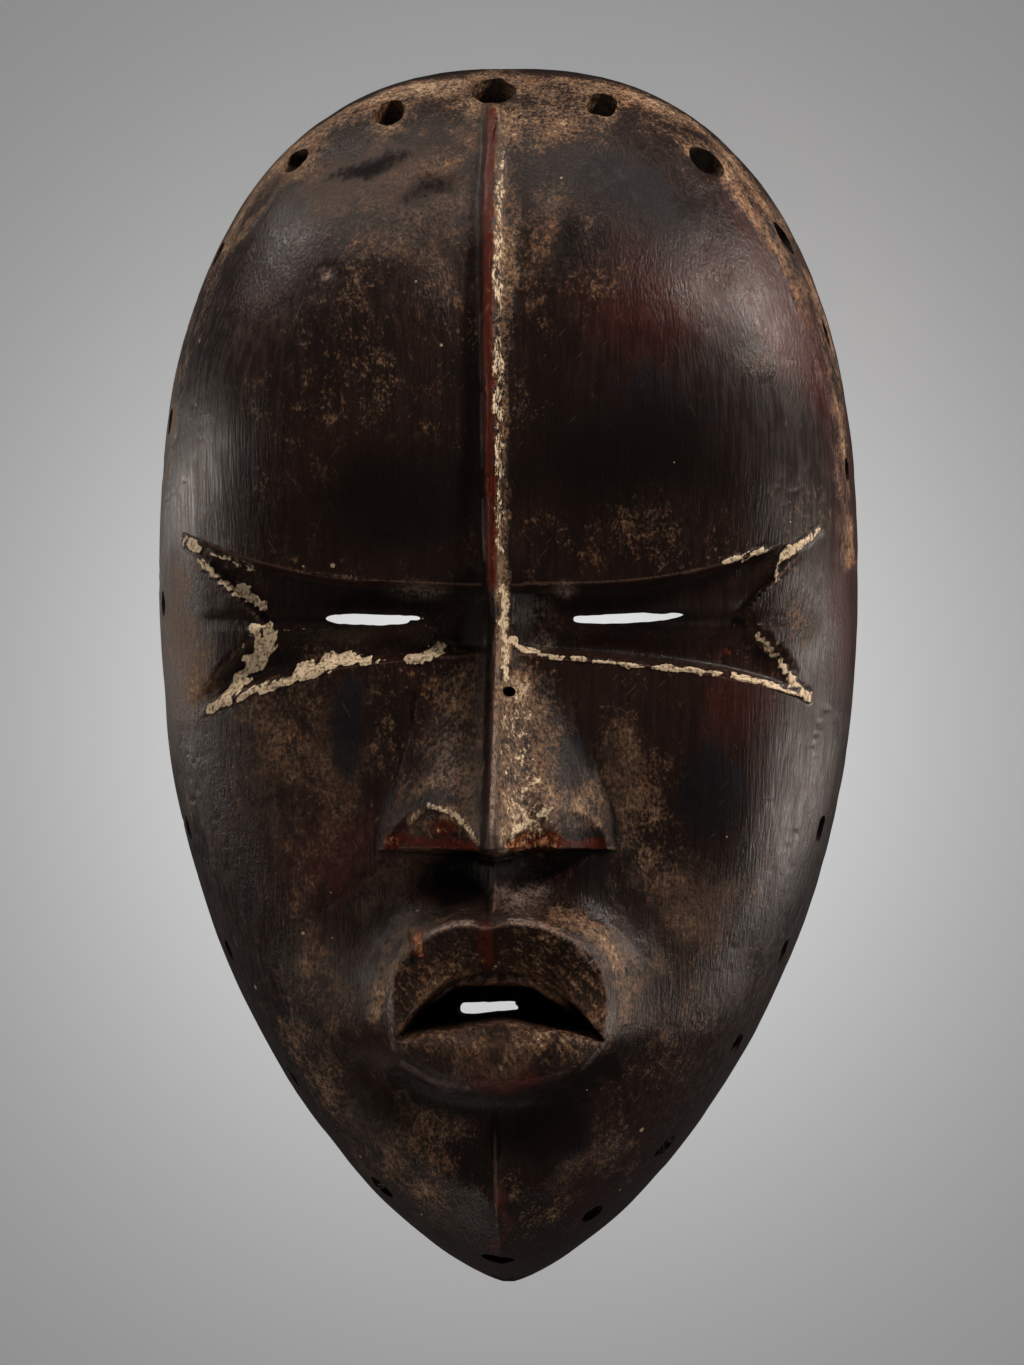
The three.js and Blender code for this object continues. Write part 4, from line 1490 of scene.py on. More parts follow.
@dataclass
class MaskPiece:
    """The mask's fine mesh: a carved front, a gouged hollow, the rim between them, and its openings."""

    face: CarvedFace
    name: str = "carved_mask"
    bore_length: float = 30.0
    bore_sink: float = 5.0
    bore_segments: int = 22
    bore_tilt: float = 22.0
    bore_tilt_more: float = 26.0
    bore_tilt_span: Span = (70, 104)
    bore_wear: float = 0.1
    nail_segments: int = 14
    nail_tip: float = 0.9
    nail_mouth: float = 1.5
    nail_length: float = 7.0
    nail_flatness: float = 0.8
    nail_sink: float = 1.4
    slit_steps: int = 5
    slit_wear: float = 0.09
    slit_bottom: float = 20.0
    slit_length: float = 60.0
    gouge_depth: float = 0.5
    gouge_start: Span = (0.5, 6)
    hollow_columns: int = 33
    rim_wear: float = 0.35
    rim_corners: float = 0.006
    rim_nicks: float = 0.5
    stray_start: Span = (2.6, 12)
    edge_rows: float = 1.6
    tip_rows: Span = (-37, -33)
    mouth_rows: Span = (-84, -20)
    eye_rows: Span = (-12, 32)
    edge_step: float = 0.25
    mouth_step: float = 0.5
    eye_step: float = 0.45
    brow_step: float = 1.0
    middle_reach: float = 26.0
    side_reach: float = 60.0
    middle_step: float = 0.5
    side_step: float = 0.9
    rim_step: float = 0.45
    sharp_angle: float = 55.0

    @staticmethod
    def spaced(low: float, high: float, step: Callable[[float], float]) -> Array:
        """Places from low to high, as far apart as step says at each place.

        Args:
            low: The first place.
            high: The last place.
            step: The distance to the next place.

        Returns:
            The places.
        """
        places = [low]
        while places[-1] + step(places[-1]) < high:
            places.append(places[-1] + step(places[-1]))
        return np.array(places + [high])

    def rows(self) -> Array:
        """Rows of the front, closer together where it is carved."""
        half = self.face.outline.half_length
        return self.spaced(-half, half, self.row_step)

    def row_step(self, y: float) -> float:
        """How far apart the rows are at one place along the face.

        Args:
            y: The place along the face.

        Returns:
            The distance to the next row.
        """
        at_edge = abs(y) > self.face.outline.half_length - self.edge_rows
        if at_edge or self.tip_rows[0] < y < self.tip_rows[1]:
            return self.edge_step
        if self.mouth_rows[0] < y < self.mouth_rows[1]:
            return self.mouth_step
        return self.eye_step if self.eye_rows[0] < y < self.eye_rows[1] else self.brow_step

    def columns(self) -> Array:
        """Columns of the front, from -1 to 1.

        Returns:
            The places.
        """
        width = self.face.outline.half_width
        half = self.spaced(0, width, self.column_step)
        return np.concatenate([-half[:0:-1], half]) / width

    def column_step(self, x: float) -> float:
        """How far apart the columns are at one place across the face.

        Args:
            x: The place across the face.

        Returns:
            The distance to the next column.
        """
        if x < self.middle_reach:
            return self.middle_step
        return self.side_step if x < self.side_reach else self.rim_step

    def place(self, u: Array, row: Array) -> tuple[Array, Array]:
        """Where a grid point lies on the face, with rows bent along the brow and the cheek edges.

        Args:
            u: Columns, from -1 to 1.
            row: Rows, before they are bent.

        Returns:
            Places across and along the face.
        """
        outline = self.face.outline
        y = self.face.eyes.row(row, outline.column(u, row))
        y = np.where(np.abs(row) >= outline.half_length, row, y)
        return outline.column(u, y), y

    def front_points(self) -> tuple[Array, tuple[int, int]]:
        """Points of the front, and the grid's numbers of columns and rows.

        Returns:
            The points, one row each, and the two numbers.
        """
        face = self.face
        columns, rows = self.columns(), self.rows()
        u, row = (a.ravel() for a in np.meshgrid(columns, rows))
        x, y = self.place(u, row)
        edge = (np.abs(u) >= 1) | (np.abs(row) >= face.outline.half_length)
        z = np.where(edge, face.dome.rim_edge, face.front(x, y))
        plain = np.stack([x, y, z], -1)
        layers = face.layers(plain)
        offset = np.where(edge, 0, face.relief(plain, layers))
        points = plain + face.normal(x, y, face.front) * offset[:, None]
        points = points + face.drift(plain) * smooth(*self.stray_start, z)[:, None]
        wear = self.rim_wear + self.rim_wear * Grain.RIM_CORNERS.on(plain)
        points[edge, :2] *= (1 - self.rim_corners * np.maximum(wear, 0))[edge, None]
        points[edge, 2] -= self.rim_nicks * np.maximum(Grain.RIM_NICKS.on(plain), 0)[edge]
        return points, (len(columns), len(rows))

    def hollow_points(self) -> tuple[Array, tuple[int, int]]:
        """Points of the hollow, scalloped by a gouge, and the grid's numbers of columns and rows.

        Returns:
            The points, one row each, and the two numbers.
        """
        dome = self.face.dome
        rows = self.rows()
        columns = np.sin(np.linspace(-math.pi / 2, math.pi / 2, self.hollow_columns))
        u, row = (a.ravel() for a in np.meshgrid(columns, rows))
        x, y = self.place(u, row)
        x, y = x * dome.across, y * dome.along
        z = dome.hollow(x, y)
        plain = np.stack([x, y, z], -1)
        scallops = np.abs(Grain.GOUGE_BROAD.on(plain))
        scallops = scallops + 0.5 * np.abs(Grain.GOUGE_FINE.on(plain))
        lower = self.gouge_depth * scallops * smooth(*self.gouge_start, z)
        return plain - self.face.normal(x, y, dome.hollow) * lower[:, None], (len(columns), len(rows))

    def net(self, bm: bmesh.types.BMesh, points: Array, size: tuple[int, int]) -> list[bmesh.types.BMVert]:
        """Lays a grid over points, each side vertex marked with its row and side.

        Args:
            bm: The mesh that the grid is added to.
            points: The grid's points, column by column along each row.
            size: Numbers of columns and rows.

        Returns:
            The grid's vertices, in the order of the points.
        """
        place = bm.verts.layers.int["place"]
        columns, rows = size
        made = bmesh.ops.create_grid(bm, x_segments=columns - 1, y_segments=rows - 1, size=1.0)["verts"]
        for i, vert in enumerate(made):
            row, column = divmod(i, columns)
            vert.co = points[i] * MM
            if row in (0, rows - 1):
                vert[place] = 1 + 2 * row
            elif column in (0, columns - 1):
                vert[place] = 1 + 2 * row + (column > 0)
        return made

    def shell(self) -> bpy.types.Mesh:
        """The closed body before its openings are cut.

        Returns:
            The mesh.
        """
        bm = bmesh.new()
        place = bm.verts.layers.int.new("place")
        points, size = self.front_points()
        made = self.net(bm, points, size)
        bmesh.ops.remove_doubles(bm, verts=made[: size[0]] + made[-size[0] :], dist=TOUCH)

        rim = [e for e in bm.edges if e.is_boundary]
        sides = bmesh.ops.extrude_edge_only(bm, edges=rim)["geom"]
        for vert in verts_in(sides):
            vert.co.z = 0

        back, back_size = self.hollow_points()
        foot = [e for e in bm.edges if e.is_boundary]
        lip = bmesh.ops.extrude_edge_only(bm, edges=foot)["geom"]
        for vert in verts_in(lip):
            row, right = divmod(vert[place] - 1, 2)
            vert.co = back[row * back_size[0] + right * (back_size[0] - 1)] * MM
        hollow = self.net(bm, back, back_size)
        seam = [v for v in bm.verts if v.is_boundary] + hollow[: back_size[0]] + hollow[-back_size[0] :]
        bmesh.ops.remove_doubles(bm, verts=list(set(seam)), dist=TOUCH)
        bmesh.ops.recalc_face_normals(bm, faces=bm.faces)
        bm.verts.layers.int.remove(place)
        return mesh_of(bm, self.name)

    def cut_slit(self, bm: bmesh.types.BMesh, outline: tuple[Point, ...], grain: Grain, which: int) -> None:
        """Adds the cutter of one slit, a smooth curve through its outline with a worn edge.

        Args:
            bm: The mesh that it is added to.
            outline: The slit's corners, in order round it.
            grain: How its edge is worn.
            which: Its number among its kind.
        """
        corners = np.array(outline)
        steps = self.slit_steps
        made = bmesh.ops.create_circle(bm, cap_ends=True, segments=len(corners) * steps, radius=1)["verts"]
        for i, vert in enumerate(made):
            at, t = i // steps, (i % steps) / steps
            a, b, c, d = (corners[(at + k) % len(corners)] for k in (-1, 0, 1, 2))
            curve = b + 0.5 * t * (c - a + t * (2 * a - 5 * b + 4 * c - d + t * (3 * (b - c) + d - a)))
            rough = self.slit_wear * grain.on(np.array([[*curve, 0.0]]), which)[0]
            vert.co = Vector((curve[0] + rough, curve[1] + rough, self.slit_bottom)) * MM
        cap = [f for f in bm.faces if made[0] in f.verts]
        raised = bmesh.ops.extrude_face_region(bm, geom=cap)["geom"]
        bmesh.ops.translate(bm, verts=verts_in(raised), vec=(0, 0, self.slit_length * MM))

    def cut_bore(self, bm: bmesh.types.BMesh, hole: RimHole, which: int) -> None:
        """Adds the cutter of one rim hole, bored inwards and worn out of round.

        Args:
            bm: The mesh that it is added to.
            hole: The hole.
            which: Its number round the rim.
        """
        face = self.face
        x, y = np.array([hole.x]), np.array([hole.y])
        h = face.bend_step
        fall_x = float((face.front(x - h, y) - face.front(x + h, y))[0])
        fall_y = float((face.front(x, y - h) - face.front(x, y + h))[0])
        away = Vector((fall_x, fall_y)).normalized()
        near_end = float(smooth(*self.bore_tilt_span, np.array(abs(hole.y))))
        tilt = math.radians(self.bore_tilt + self.bore_tilt_more * near_end)
        out = Vector((away.x * math.cos(tilt), away.y * math.cos(tilt), math.sin(tilt)))
        along = Vector((-away.y, away.x, 0))
        up = out.cross(along)
        at = Vector((hole.x, hole.y, float(face.front(x, y)[0]))) - out * self.bore_sink
        made = bmesh.ops.create_cone(
            bm, cap_ends=True, segments=self.bore_segments, radius1=1, radius2=1, depth=self.bore_length
        )["verts"]
        for vert in made:
            u, v, w = vert.co
            rough = 1 + self.bore_wear * Grain.RIM_HOLES.on(np.array([[u * 2, v * 2, 0.0]]), which)[0]
            wide = u * hole.width / 2 * rough
            high = v * hole.height / 2 * rough
            vert.co = (at + along * wide + up * high + out * w) * MM

    def cut_nail_hole(self, bm: bmesh.types.BMesh) -> None:
        """Adds the cutter of the small blind hole on the bridge of the nose.

        Args:
            bm: The mesh that it is added to.
        """
        x, y = self.face.nail_hole
        top = float(self.face.front(np.array([x]), np.array([y]))[0])
        made = bmesh.ops.create_cone(
            bm,
            cap_ends=True,
            segments=self.nail_segments,
            radius1=self.nail_tip,
            radius2=self.nail_mouth,
            depth=self.nail_length,
        )["verts"]
        for vert in made:
            u, v, w = vert.co
            vert.co = Vector((x + u, y + v * self.nail_flatness, top + w - self.nail_sink)) * MM

    def cutters(self) -> bpy.types.Mesh:
        """All the openings' cutters in one mesh.

        Returns:
            The mesh.
        """
        bm = bmesh.new()
        eyes, mouth = self.face.eyes, self.face.mouth
        for eye in eyes.eyes:
            self.cut_slit(bm, eye.slit, Grain.EYE_SLITS, eye.side)
        self.cut_slit(bm, mouth.slot, Grain.MOUTH_SLOT, 0)
        for i, hole in enumerate(self.face.holes):
            self.cut_bore(bm, hole, i)
        self.cut_nail_hole(bm)
        bmesh.ops.recalc_face_normals(bm, faces=bm.faces)
        return mesh_of(bm, "openings")

    def build(self) -> bpy.types.Object:
        """The finished piece.

        Returns:
            The object.
        """
        piece = linked(self.name, self.shell())
        tool = linked("openings", self.cutters())
        boolean = piece.modifiers.new("openings", "BOOLEAN")
        boolean.operation = "DIFFERENCE"
        boolean.solver = "MANIFOLD"
        boolean.object = tool
        seen = piece.evaluated_get(bpy.context.evaluated_depsgraph_get())
        cut_mesh = bpy.data.meshes.new_from_object(seen)
        piece.modifiers.clear()
        piece.data = cut_mesh
        piece.data.name = self.name
        bpy.data.objects.remove(tool)
        self.keep_inside(piece.data)
        self.dress(piece.data)
        piece.data.shade_smooth()
        piece.data.set_sharp_from_angle(angle=math.radians(self.sharp_angle))
        return piece

    def dress(self, mesh: bpy.types.Mesh) -> None:
        """Lays the painted layers, patina with painted shade and sheen, on the mesh as vertex colours, with
        bare wood inside the openings.

        Args:
            mesh: The piece's mesh.
        """
        points = points_of(mesh) / MM
        x, y, z = points.T
        normal = self.face.normal(x, y, self.face.front)
        under = (self.face.front(x, y) - z) * normal[:, 2]
        layers = self.face.layers(points)
        layers[Layer.INNER] = smooth(0.8, 1.6, under)
        paint = {name: np.zeros((len(points), 4)) for name, _ in (layer.value for layer in Layer)}
        for layer, strength in layers.items():
            name, channel = layer.value
            paint[name][:, channel] = strength
        for name, colours in paint.items():
            painted = mesh.color_attributes.new(name, "FLOAT_COLOR", "POINT")
            painted.data.foreach_set("color", colours.ravel())

    def keep_inside(self, mesh: bpy.types.Mesh) -> None:
        """Holds every vertex inside the solid's box.

        Args:
            mesh: The piece's mesh.
        """
        co = np.clip(points_of(mesh), np.array(CAD_BOX[0]), np.array(CAD_BOX[1]))
        mesh.vertices.foreach_set("co", co.ravel())
        mesh.update()


class Graph:
    """Adds and joins the nodes of one material."""

    def __init__(self, name: str) -> None:
        """Starts a material that holds only its shader.

        Args:
            name: The material's name.
        """
        self.material = bpy.data.materials.new(name)
        self.material.use_nodes = True
        self.tree = self.material.node_tree
        self.shader = self.tree.nodes["Principled BSDF"]
        self.coords = self.add("TexCoord").outputs["Object"]

    def add(self, kind: str) -> bpy.types.ShaderNode:
        """Adds a node of one kind."""
        return self.tree.nodes.new("ShaderNode" + kind)

    def put(self, socket: Socket, value: Value) -> None:
        """Joins value to a socket, or sets it there if it is a plain number or colour.

        Args:
            socket: The input that it goes to.
            value: Another node's output, a number or a colour.
        """
        if isinstance(value, bpy.types.NodeSocket):
            self.tree.links.new(value, socket)
        elif isinstance(value, tuple):
            socket.default_value = (*value, 1.0) if len(socket.default_value) == 4 else value
        else:
            socket.default_value = value

    def noise(
        self,
        size: float,
        detail: float = 3,
        stretch: float = 1,
        rough: float = 0.5,
        shift: float = 0,
        turn: float = 0,
        deep: float = 1,
    ) -> Socket:
        """Noise of lumps size millimetres across, stretch times as long up the face.

        Args:
            size: Size of the largest lumps.
            detail: How many finer layers it has.
            stretch: How much longer the lumps are up and down the face.
            rough: How strong the finer layers are.
            shift: How far the pattern is moved, to tell one noise from another.
            turn: How far its lumps lean over, in radians.
            deep: How much longer the lumps are into the wood.

        Returns:
            The noise's output.
        """
        mapping = self.add("Mapping")
        mapping.vector_type = "TEXTURE"
        mapping.inputs["Location"].default_value = (shift, shift, shift)
        mapping.inputs["Rotation"].default_value = (0.0, 0.0, turn)
        mapping.inputs["Scale"].default_value = (1.0, stretch, deep)
        self.put(mapping.inputs["Vector"], self.coords)
        noise = self.add("TexNoise")
        noise.inputs["Scale"].default_value = 1.0 / (size * MM)
        noise.inputs["Detail"].default_value = detail
        noise.inputs["Roughness"].default_value = rough
        self.put(noise.inputs["Vector"], mapping.outputs[0])
        return noise.outputs["Fac"]

    def hairlines(self, turn: float, size: float, shift: float) -> Socket:
        """Sparse fine scratches of one direction: turn in radians, size their width in millimetres."""
        return self.step(self.noise(size, 0, 30, shift=shift, turn=turn, deep=3), 0.80, 0.86)

    def specks(self, spacing: float, radius: float, share: float) -> Socket:
        """Small scattered specks.

        Args:
            spacing: Size of the cells that a speck may lie in, in millimetres.
            radius: The largest speck's radius, in millimetres.
            share: Share of the cells that hold one.

        Returns:
            1 on a speck, 0 beside it.
        """
        cells = self.add("TexVoronoi")
        cells.inputs["Scale"].default_value = 1.0 / (spacing * MM)
        self.put(cells.inputs["Vector"], self.coords)
        pick = self.add("SeparateColor")
        self.put(pick.inputs[0], cells.outputs["Color"])
        size = self.math("MULTIPLY", pick.outputs[1], radius / spacing)
        inside = self.math("LESS_THAN", cells.outputs["Distance"], size)
        return self.math("MULTIPLY", inside, self.math("LESS_THAN", pick.outputs[0], share))

    def math(self, operation: str, first: Value, second: Value = 0.0) -> Socket:
        """A sum, product or other reckoning of two values.

        Args:
            operation: Which reckoning.
            first: Its first value.
            second: Its second value.

        Returns:
            The result.
        """
        node = self.add("Math")
        node.operation = operation
        self.put(node.inputs[0], first)
        self.put(node.inputs[1], second)
        return node.outputs[0]

    def times(self, first: Value, second: Value) -> Socket:
        """The product of two values."""
        return self.math("MULTIPLY", first, second)

    def mixed(self, *parts: tuple[Value, float]) -> Socket:
        """A weighted sum.

        Args:
            parts: Each value with its weight.

        Returns:
            The sum.
        """
        total = self.times(*parts[0])
        for value, weight in parts[1:]:
            total = self.math("ADD", total, self.times(value, weight))
        return total

    def step(self, value: Value, low: float, high: float, start: float = 0.0, end: float = 1.0) -> Socket:
        """An eased step.

        Args:
            value: What it depends on.
            low: Where the step begins.
            high: Where it ends.
            start: The result below low.
            end: The result above high.

        Returns:
            The result.
        """
        node = self.add("MapRange")
        node.interpolation_type = "SMOOTHSTEP"
        for socket, number in zip(node.inputs[1:5], (low, high, start, end)):
            socket.default_value = number
        self.put(node.inputs[0], value)
        return node.outputs[0]

    def blend(self, first: Value, second: Value, share: Value) -> Socket:
        """A mixture of two colours.

        Args:
            first: The colour where share is 0.
            second: The colour where share is 1.
            share: How much of the second shows.

        Returns:
            The mixed colour.
        """
        node = self.add("Mix")
        node.data_type = "RGBA"
        self.put(node.inputs["Factor"], share)
        self.put(node.inputs[6], first)
        self.put(node.inputs[7], second)
        return node.outputs[2]

    def channels(self, name: str) -> list[Socket]:
        """The four channels of a vertex colour.

        Args:
            name: The vertex colour's name.

        Returns:
            One output for each channel.
        """
        source = self.add("Attribute")
        source.attribute_name = name
        split = self.add("SeparateColor")
        self.put(split.inputs[0], source.outputs["Color"])
        return [split.outputs[0], split.outputs[1], split.outputs[2], source.outputs["Alpha"]]


class WoodLayers:
    """The layers painted on the piece and the noises of its wood, as outputs in one material."""

    def __init__(self, g: Graph) -> None:
        """Reads the layers off the piece and adds the noises.

        Args:
            g: The material's nodes.
        """
        self.crust, self.dust, self.film_and_sheen, self.inner = g.channels("deposits")
        self.edge, self.nook, self.lip, self.dark = g.channels("bends")
        self.rubbed, self.red, self.soot, self.warm = g.channels("tones")
        self.grain = g.noise(0.5, 3, 18, 0.6)
        self.streak = g.noise(1.1, 3, 15, 0.55, 3.1)
        self.mottle = g.noise(10, 6, 1.35, 0.66, 1.7)
        self.mottle_fine = g.noise(3.6, 5, 1.25, 0.66, 5.3)
        self.clouds = g.noise(24, 3, 1.3, 0.5, 7.9)
        self.leather = g.noise(1.25, 6, 1.3, 0.68, 9.1)
        self.pores = g.noise(0.6, 4, 1.5, 0.7, 11.3)
        self.rust = g.step(g.noise(7, 5, 1.4, 0.62, 13.7), 0.5, 0.64)
        self.strokes = g.noise(0.9, 3, 7, 0.55, 15.1, 0.6)
        self.grit = g.mixed((self.leather, 0.55), (self.pores, 0.9))


@dataclass(frozen=True)
class PatinaFinish:
    """Dark wood worn by handling: soot and oil over brown and red grain, with dust, rubbed edges and crust,
    and with painted shade, sheen and highlights.
    """

    char: Colour = (0.0080, 0.0046, 0.0036)
    ember: Colour = (0.0150, 0.0064, 0.0045)
    umber: Colour = (0.0450, 0.0255, 0.0165)
    brown: Colour = (0.0720, 0.0410, 0.0240)
    brown_pale: Colour = (0.1500, 0.0960, 0.0600)
    rust: Colour = (0.0950, 0.0420, 0.0190)
    rust_pale: Colour = (0.2400, 0.1050, 0.0480)
    wine: Colour = (0.0420, 0.0075, 0.0060)
    soot: Colour = (0.0060, 0.0060, 0.0078)
    dust: Colour = (0.2500, 0.1680, 0.1020)
    dust_pale: Colour = (0.4000, 0.3100, 0.2100)
    pit: Colour = (0.0060, 0.0042, 0.0036)
    handled_and_highlight: Colour = (0.1100, 0.0600, 0.0420)
    film_and_sheen: Colour = (0.2100, 0.1550, 0.1250)
    orange: Colour = (0.3800, 0.1800, 0.0850)
    orange_dark: Colour = (0.0620, 0.0090, 0.0040)
    crust: Colour = (0.6000, 0.4900, 0.3400)
    crust_shade: Colour = (0.1700, 0.1200, 0.0750)
    inner: Colour = (0.0180, 0.0100, 0.0062)
    bump_depth: float = 0.25

    def dark_wood(self, g: Graph, w: WoodLayers) -> Socket:
        """The wood under everything: char and ember, reddened here and there, browner where it is warm.

        Args:
            g: The material's nodes.
            w: The wood's layers and noises.

        Returns:
            Its colour.
        """
        wood = g.blend(self.char, self.ember, g.step(g.mixed((w.clouds, 0.5), (w.streak, 0.5)), 0.40, 0.62))
        blush = g.step(g.mixed((w.red, 0.55), (w.clouds, 0.35), (w.streak, 0.3)), 0.40, 1.0)
        wood = g.blend(wood, self.wine, blush)
        ground = g.mixed((w.warm, 0.55), (w.mottle, 0.9), (w.mottle_fine, 0.6), (w.grit, 0.35))
        ground = g.mixed((ground, 1.0), (w.red, -0.1))
        return g.blend(wood, self.umber, g.step(ground, 1.12, 1.50))

    def tan(self, g: Graph, w: WoodLayers) -> Socket:
        """How strongly tan dust and pale wood show at each place.

        Args:
            g: The material's nodes.
            w: The wood's layers and noises.

        Returns:
            A strength of about 1.5, where they start to show, to 2.3.
        """
        blotch = g.mixed((w.mottle, 0.85), (w.mottle_fine, 0.55), (w.streak, 0.15))
        slanted = g.times(w.lip, g.math("SUBTRACT", w.strokes, 0.52))
        marked = g.mixed((w.warm, 0.16), (w.dust, 0.46), (w.soot, -0.3), (w.red, -0.1), (slanted, 1.1))
        fine = g.mixed((w.leather, 0.5), (w.pores, 1.15))
        return g.math("ADD", g.math("ADD", blotch, fine), marked)

    def dusted(self, g: Graph, w: WoodLayers, wood: Socket, tan: Socket) -> Socket:
        """Lays brown, rust and dust over the wood, each paler coat within the one before.

        Args:
            g: The material's nodes.
            w: The wood's layers and noises.
            wood: The colour underneath.
            tan: How strongly the coats show.

        Returns:
            The colour with the coats.
        """
        brown = g.blend(self.brown, self.rust, g.mixed((w.rust, 0.5), (w.red, 0.6), (w.lip, 0.35)))
        wood = g.blend(wood, brown, g.step(tan, 1.72, 1.90))
        brown_pale = g.blend(self.brown_pale, self.rust_pale, g.mixed((w.rust, 0.3), (w.red, 0.7)))
        wood = g.blend(wood, brown_pale, g.step(tan, 1.86, 2.06))
        wood = g.blend(wood, self.dust, g.step(tan, 2.01, 2.22))
        return g.blend(wood, self.dust_pale, g.step(tan, 2.07, 2.3, 0.0, 0.85))

    def handled_wood_with_painted_light(self, g: Graph, w: WoodLayers, wood: Socket, smear: Socket) -> Socket:
        """Lays soot, hairlines, the dark of the nooks and the painted shade of the dark layer, the gloss of
        handling on convex edges, partly a painted highlight, and the pale film with its painted sheen.

        Args:
            g: The material's nodes.
            w: The wood's layers and noises.
            wood: The colour underneath.
            smear: Where soot is smeared.

        Returns:
            The colour with them.
        """
        wood = g.blend(wood, self.soot, g.times(smear, 0.85))
        hairs = g.math("MAXIMUM", g.hairlines(0.5, 0.2, 17.9), g.hairlines(-0.75, 0.17, 21.7))
        wood = g.blend(wood, self.brown_pale, g.times(hairs, 0.35))
        # Nearly black in nooks, and where the dark layer lays dark patina or painted shade.
        shade = g.mixed((w.nook, 0.6), (w.dark, 1.0), (w.leather, 0.5), (w.dust, -0.6))
        wood = g.blend(wood, self.pit, g.step(shade, 0.3, 1.1))
        # Lighter on convex edges: wear from handling, and partly a painted highlight.
        handled_and_highlight = g.step(g.mixed((w.edge, 0.8), (w.leather, 0.6), (w.dust, -0.8)), 0.5, 1.0)
        wood = g.blend(wood, self.handled_and_highlight, g.times(handled_and_highlight, 0.4))
        # The pale film with its painted sheen and highlights, broken up by the grit.
        film_and_sheen_share = g.times(w.film_and_sheen, g.step(w.grit, 0.65, 0.85, 0.2, 0.9))
        return g.blend(wood, self.film_and_sheen, film_and_sheen_share)

    def worn_wood(self, g: Graph, w: WoodLayers, wood: Socket) -> Socket:
        """Bares the red wood where it is rubbed, and adds the pits and the bare inside of the openings.

        Args:
            g: The material's nodes.
            w: The wood's layers and noises.
            wood: The colour underneath.

        Returns:
            The colour with them.
        """
        worn_through = g.step(g.mixed((w.leather, 0.7), (w.grain, 0.3), (w.rubbed, 0.5)), 0.86, 1.08)
        bare_wood = g.blend(self.orange_dark, self.orange, worn_through)
        wood = g.blend(wood, bare_wood, g.step(g.mixed((w.rubbed, 0.8), (w.grit, 0.45)), 0.62, 0.86))
        pits = g.step(w.grit, 0.58, 0.72, 1.0, 0.0)
        wood = g.blend(wood, self.pit, g.times(pits, 0.7))
        return g.blend(wood, self.inner, w.inner)

    def crusted(self, g: Graph, w: WoodLayers, wood: Socket, flakes: Socket) -> Socket:
        """Lays the flakes of pale crust and a few pale flecks on top, which stand partly for painted
        glints.

        Args:
            g: The material's nodes.
            w: The wood's layers and noises.
            wood: The colour underneath.
            flakes: Where a flake lies.

        Returns:
            The finished colour.
        """
        pale = g.blend(self.crust_shade, self.crust, g.step(w.grit, 0.60, 0.78))
        wood = g.blend(wood, pale, flakes)
        # Pale flecks, partly standing in for painted glints.
        flecks_and_glints = g.times(g.specks(5.5, 0.55, 0.3), g.math("SUBTRACT", 1.0, w.inner))
        return g.blend(wood, self.dust_pale, g.times(flecks_and_glints, 0.55))

    def shine(self, g: Graph, w: WoodLayers, dry: Socket, smear: Socket) -> None:
        """Sets how glossy the wood is: satin where it is oiled, dull where it is dry.

        Args:
            g: The material's nodes.
            w: The wood's layers and noises.
            dry: Where dust, crust or bare wood lies.
            smear: Where soot is smeared.
        """
        satin = g.step(g.mixed((w.mottle_fine, 0.4), (w.streak, 0.6)), 0.36, 0.64, 0.27, 0.46)
        satin = g.math("ADD", satin, g.times(smear, 0.1))
        matte = g.math("MAXIMUM", satin, g.step(dry, 0.0, 1.0, 0.3, 0.8))
        g.put(g.shader.inputs["Roughness"], matte)
        dull = g.mixed((dry, 0.5), (w.dark, 0.9), (w.rubbed, 0.5), (smear, 0.35))
        g.put(g.shader.inputs["Specular IOR Level"], g.step(dull, 0.0, 1.0, 0.5, 0.08))

    def fine_relief(self, g: Graph, w: WoodLayers) -> None:
        """Sets the finest lumps of the surface, strongest where it is worked or crusted.

        Args:
            g: The material's nodes.
            w: The wood's layers and noises.
        """
        worked = g.mixed((w.warm, 0.8), (w.dust, 1.0), (w.lip, 0.8), (w.crust, 1.0), (w.mottle, 0.4))
        rough_share = g.step(worked, 0.15, 0.95, 0.12, 1.1)
        lumps = g.times(g.mixed((w.leather, 1.0), (w.pores, 0.9)), rough_share)
        lumps = g.math("ADD", lumps, g.mixed((w.grain, 0.6), (w.streak, 0.3)))
        relief = g.add("Bump")
        relief.inputs["Strength"].default_value = 1.0
        relief.inputs["Distance"].default_value = self.bump_depth * MM
        g.put(relief.inputs["Height"], lumps)
        g.put(g.shader.inputs["Normal"], relief.outputs[0])

    def material(self) -> bpy.types.Material:
        """Builds the wood's material, coat over coat.

        Returns:
            The material.
        """
        g = Graph("patinated_wood")
        w = WoodLayers(g)
        tan = self.tan(g, w)
        smear = g.mixed((w.soot, 0.5), (w.mottle_fine, 0.5), (w.streak, 0.45), (w.mottle, 0.2))
        smear = g.step(smear, 0.80, 0.98)
        flakes = g.mixed((w.crust, 0.9), (w.pores, 0.6), (w.leather, 0.5), (w.mottle_fine, 0.3))
        flakes = g.step(flakes, 1.05, 1.19)
        wood = self.dusted(g, w, self.dark_wood(g, w), tan)
        wood = self.worn_wood(g, w, self.handled_wood_with_painted_light(g, w, wood, smear))
        g.put(g.shader.inputs["Base Color"], self.crusted(g, w, wood, flakes))
        dry = g.math("MAXIMUM", g.math("MAXIMUM", flakes, w.inner), g.step(tan, 1.67, 2.22))
        self.shine(g, w, dry, smear)
        self.fine_relief(g, w)
        return g.material


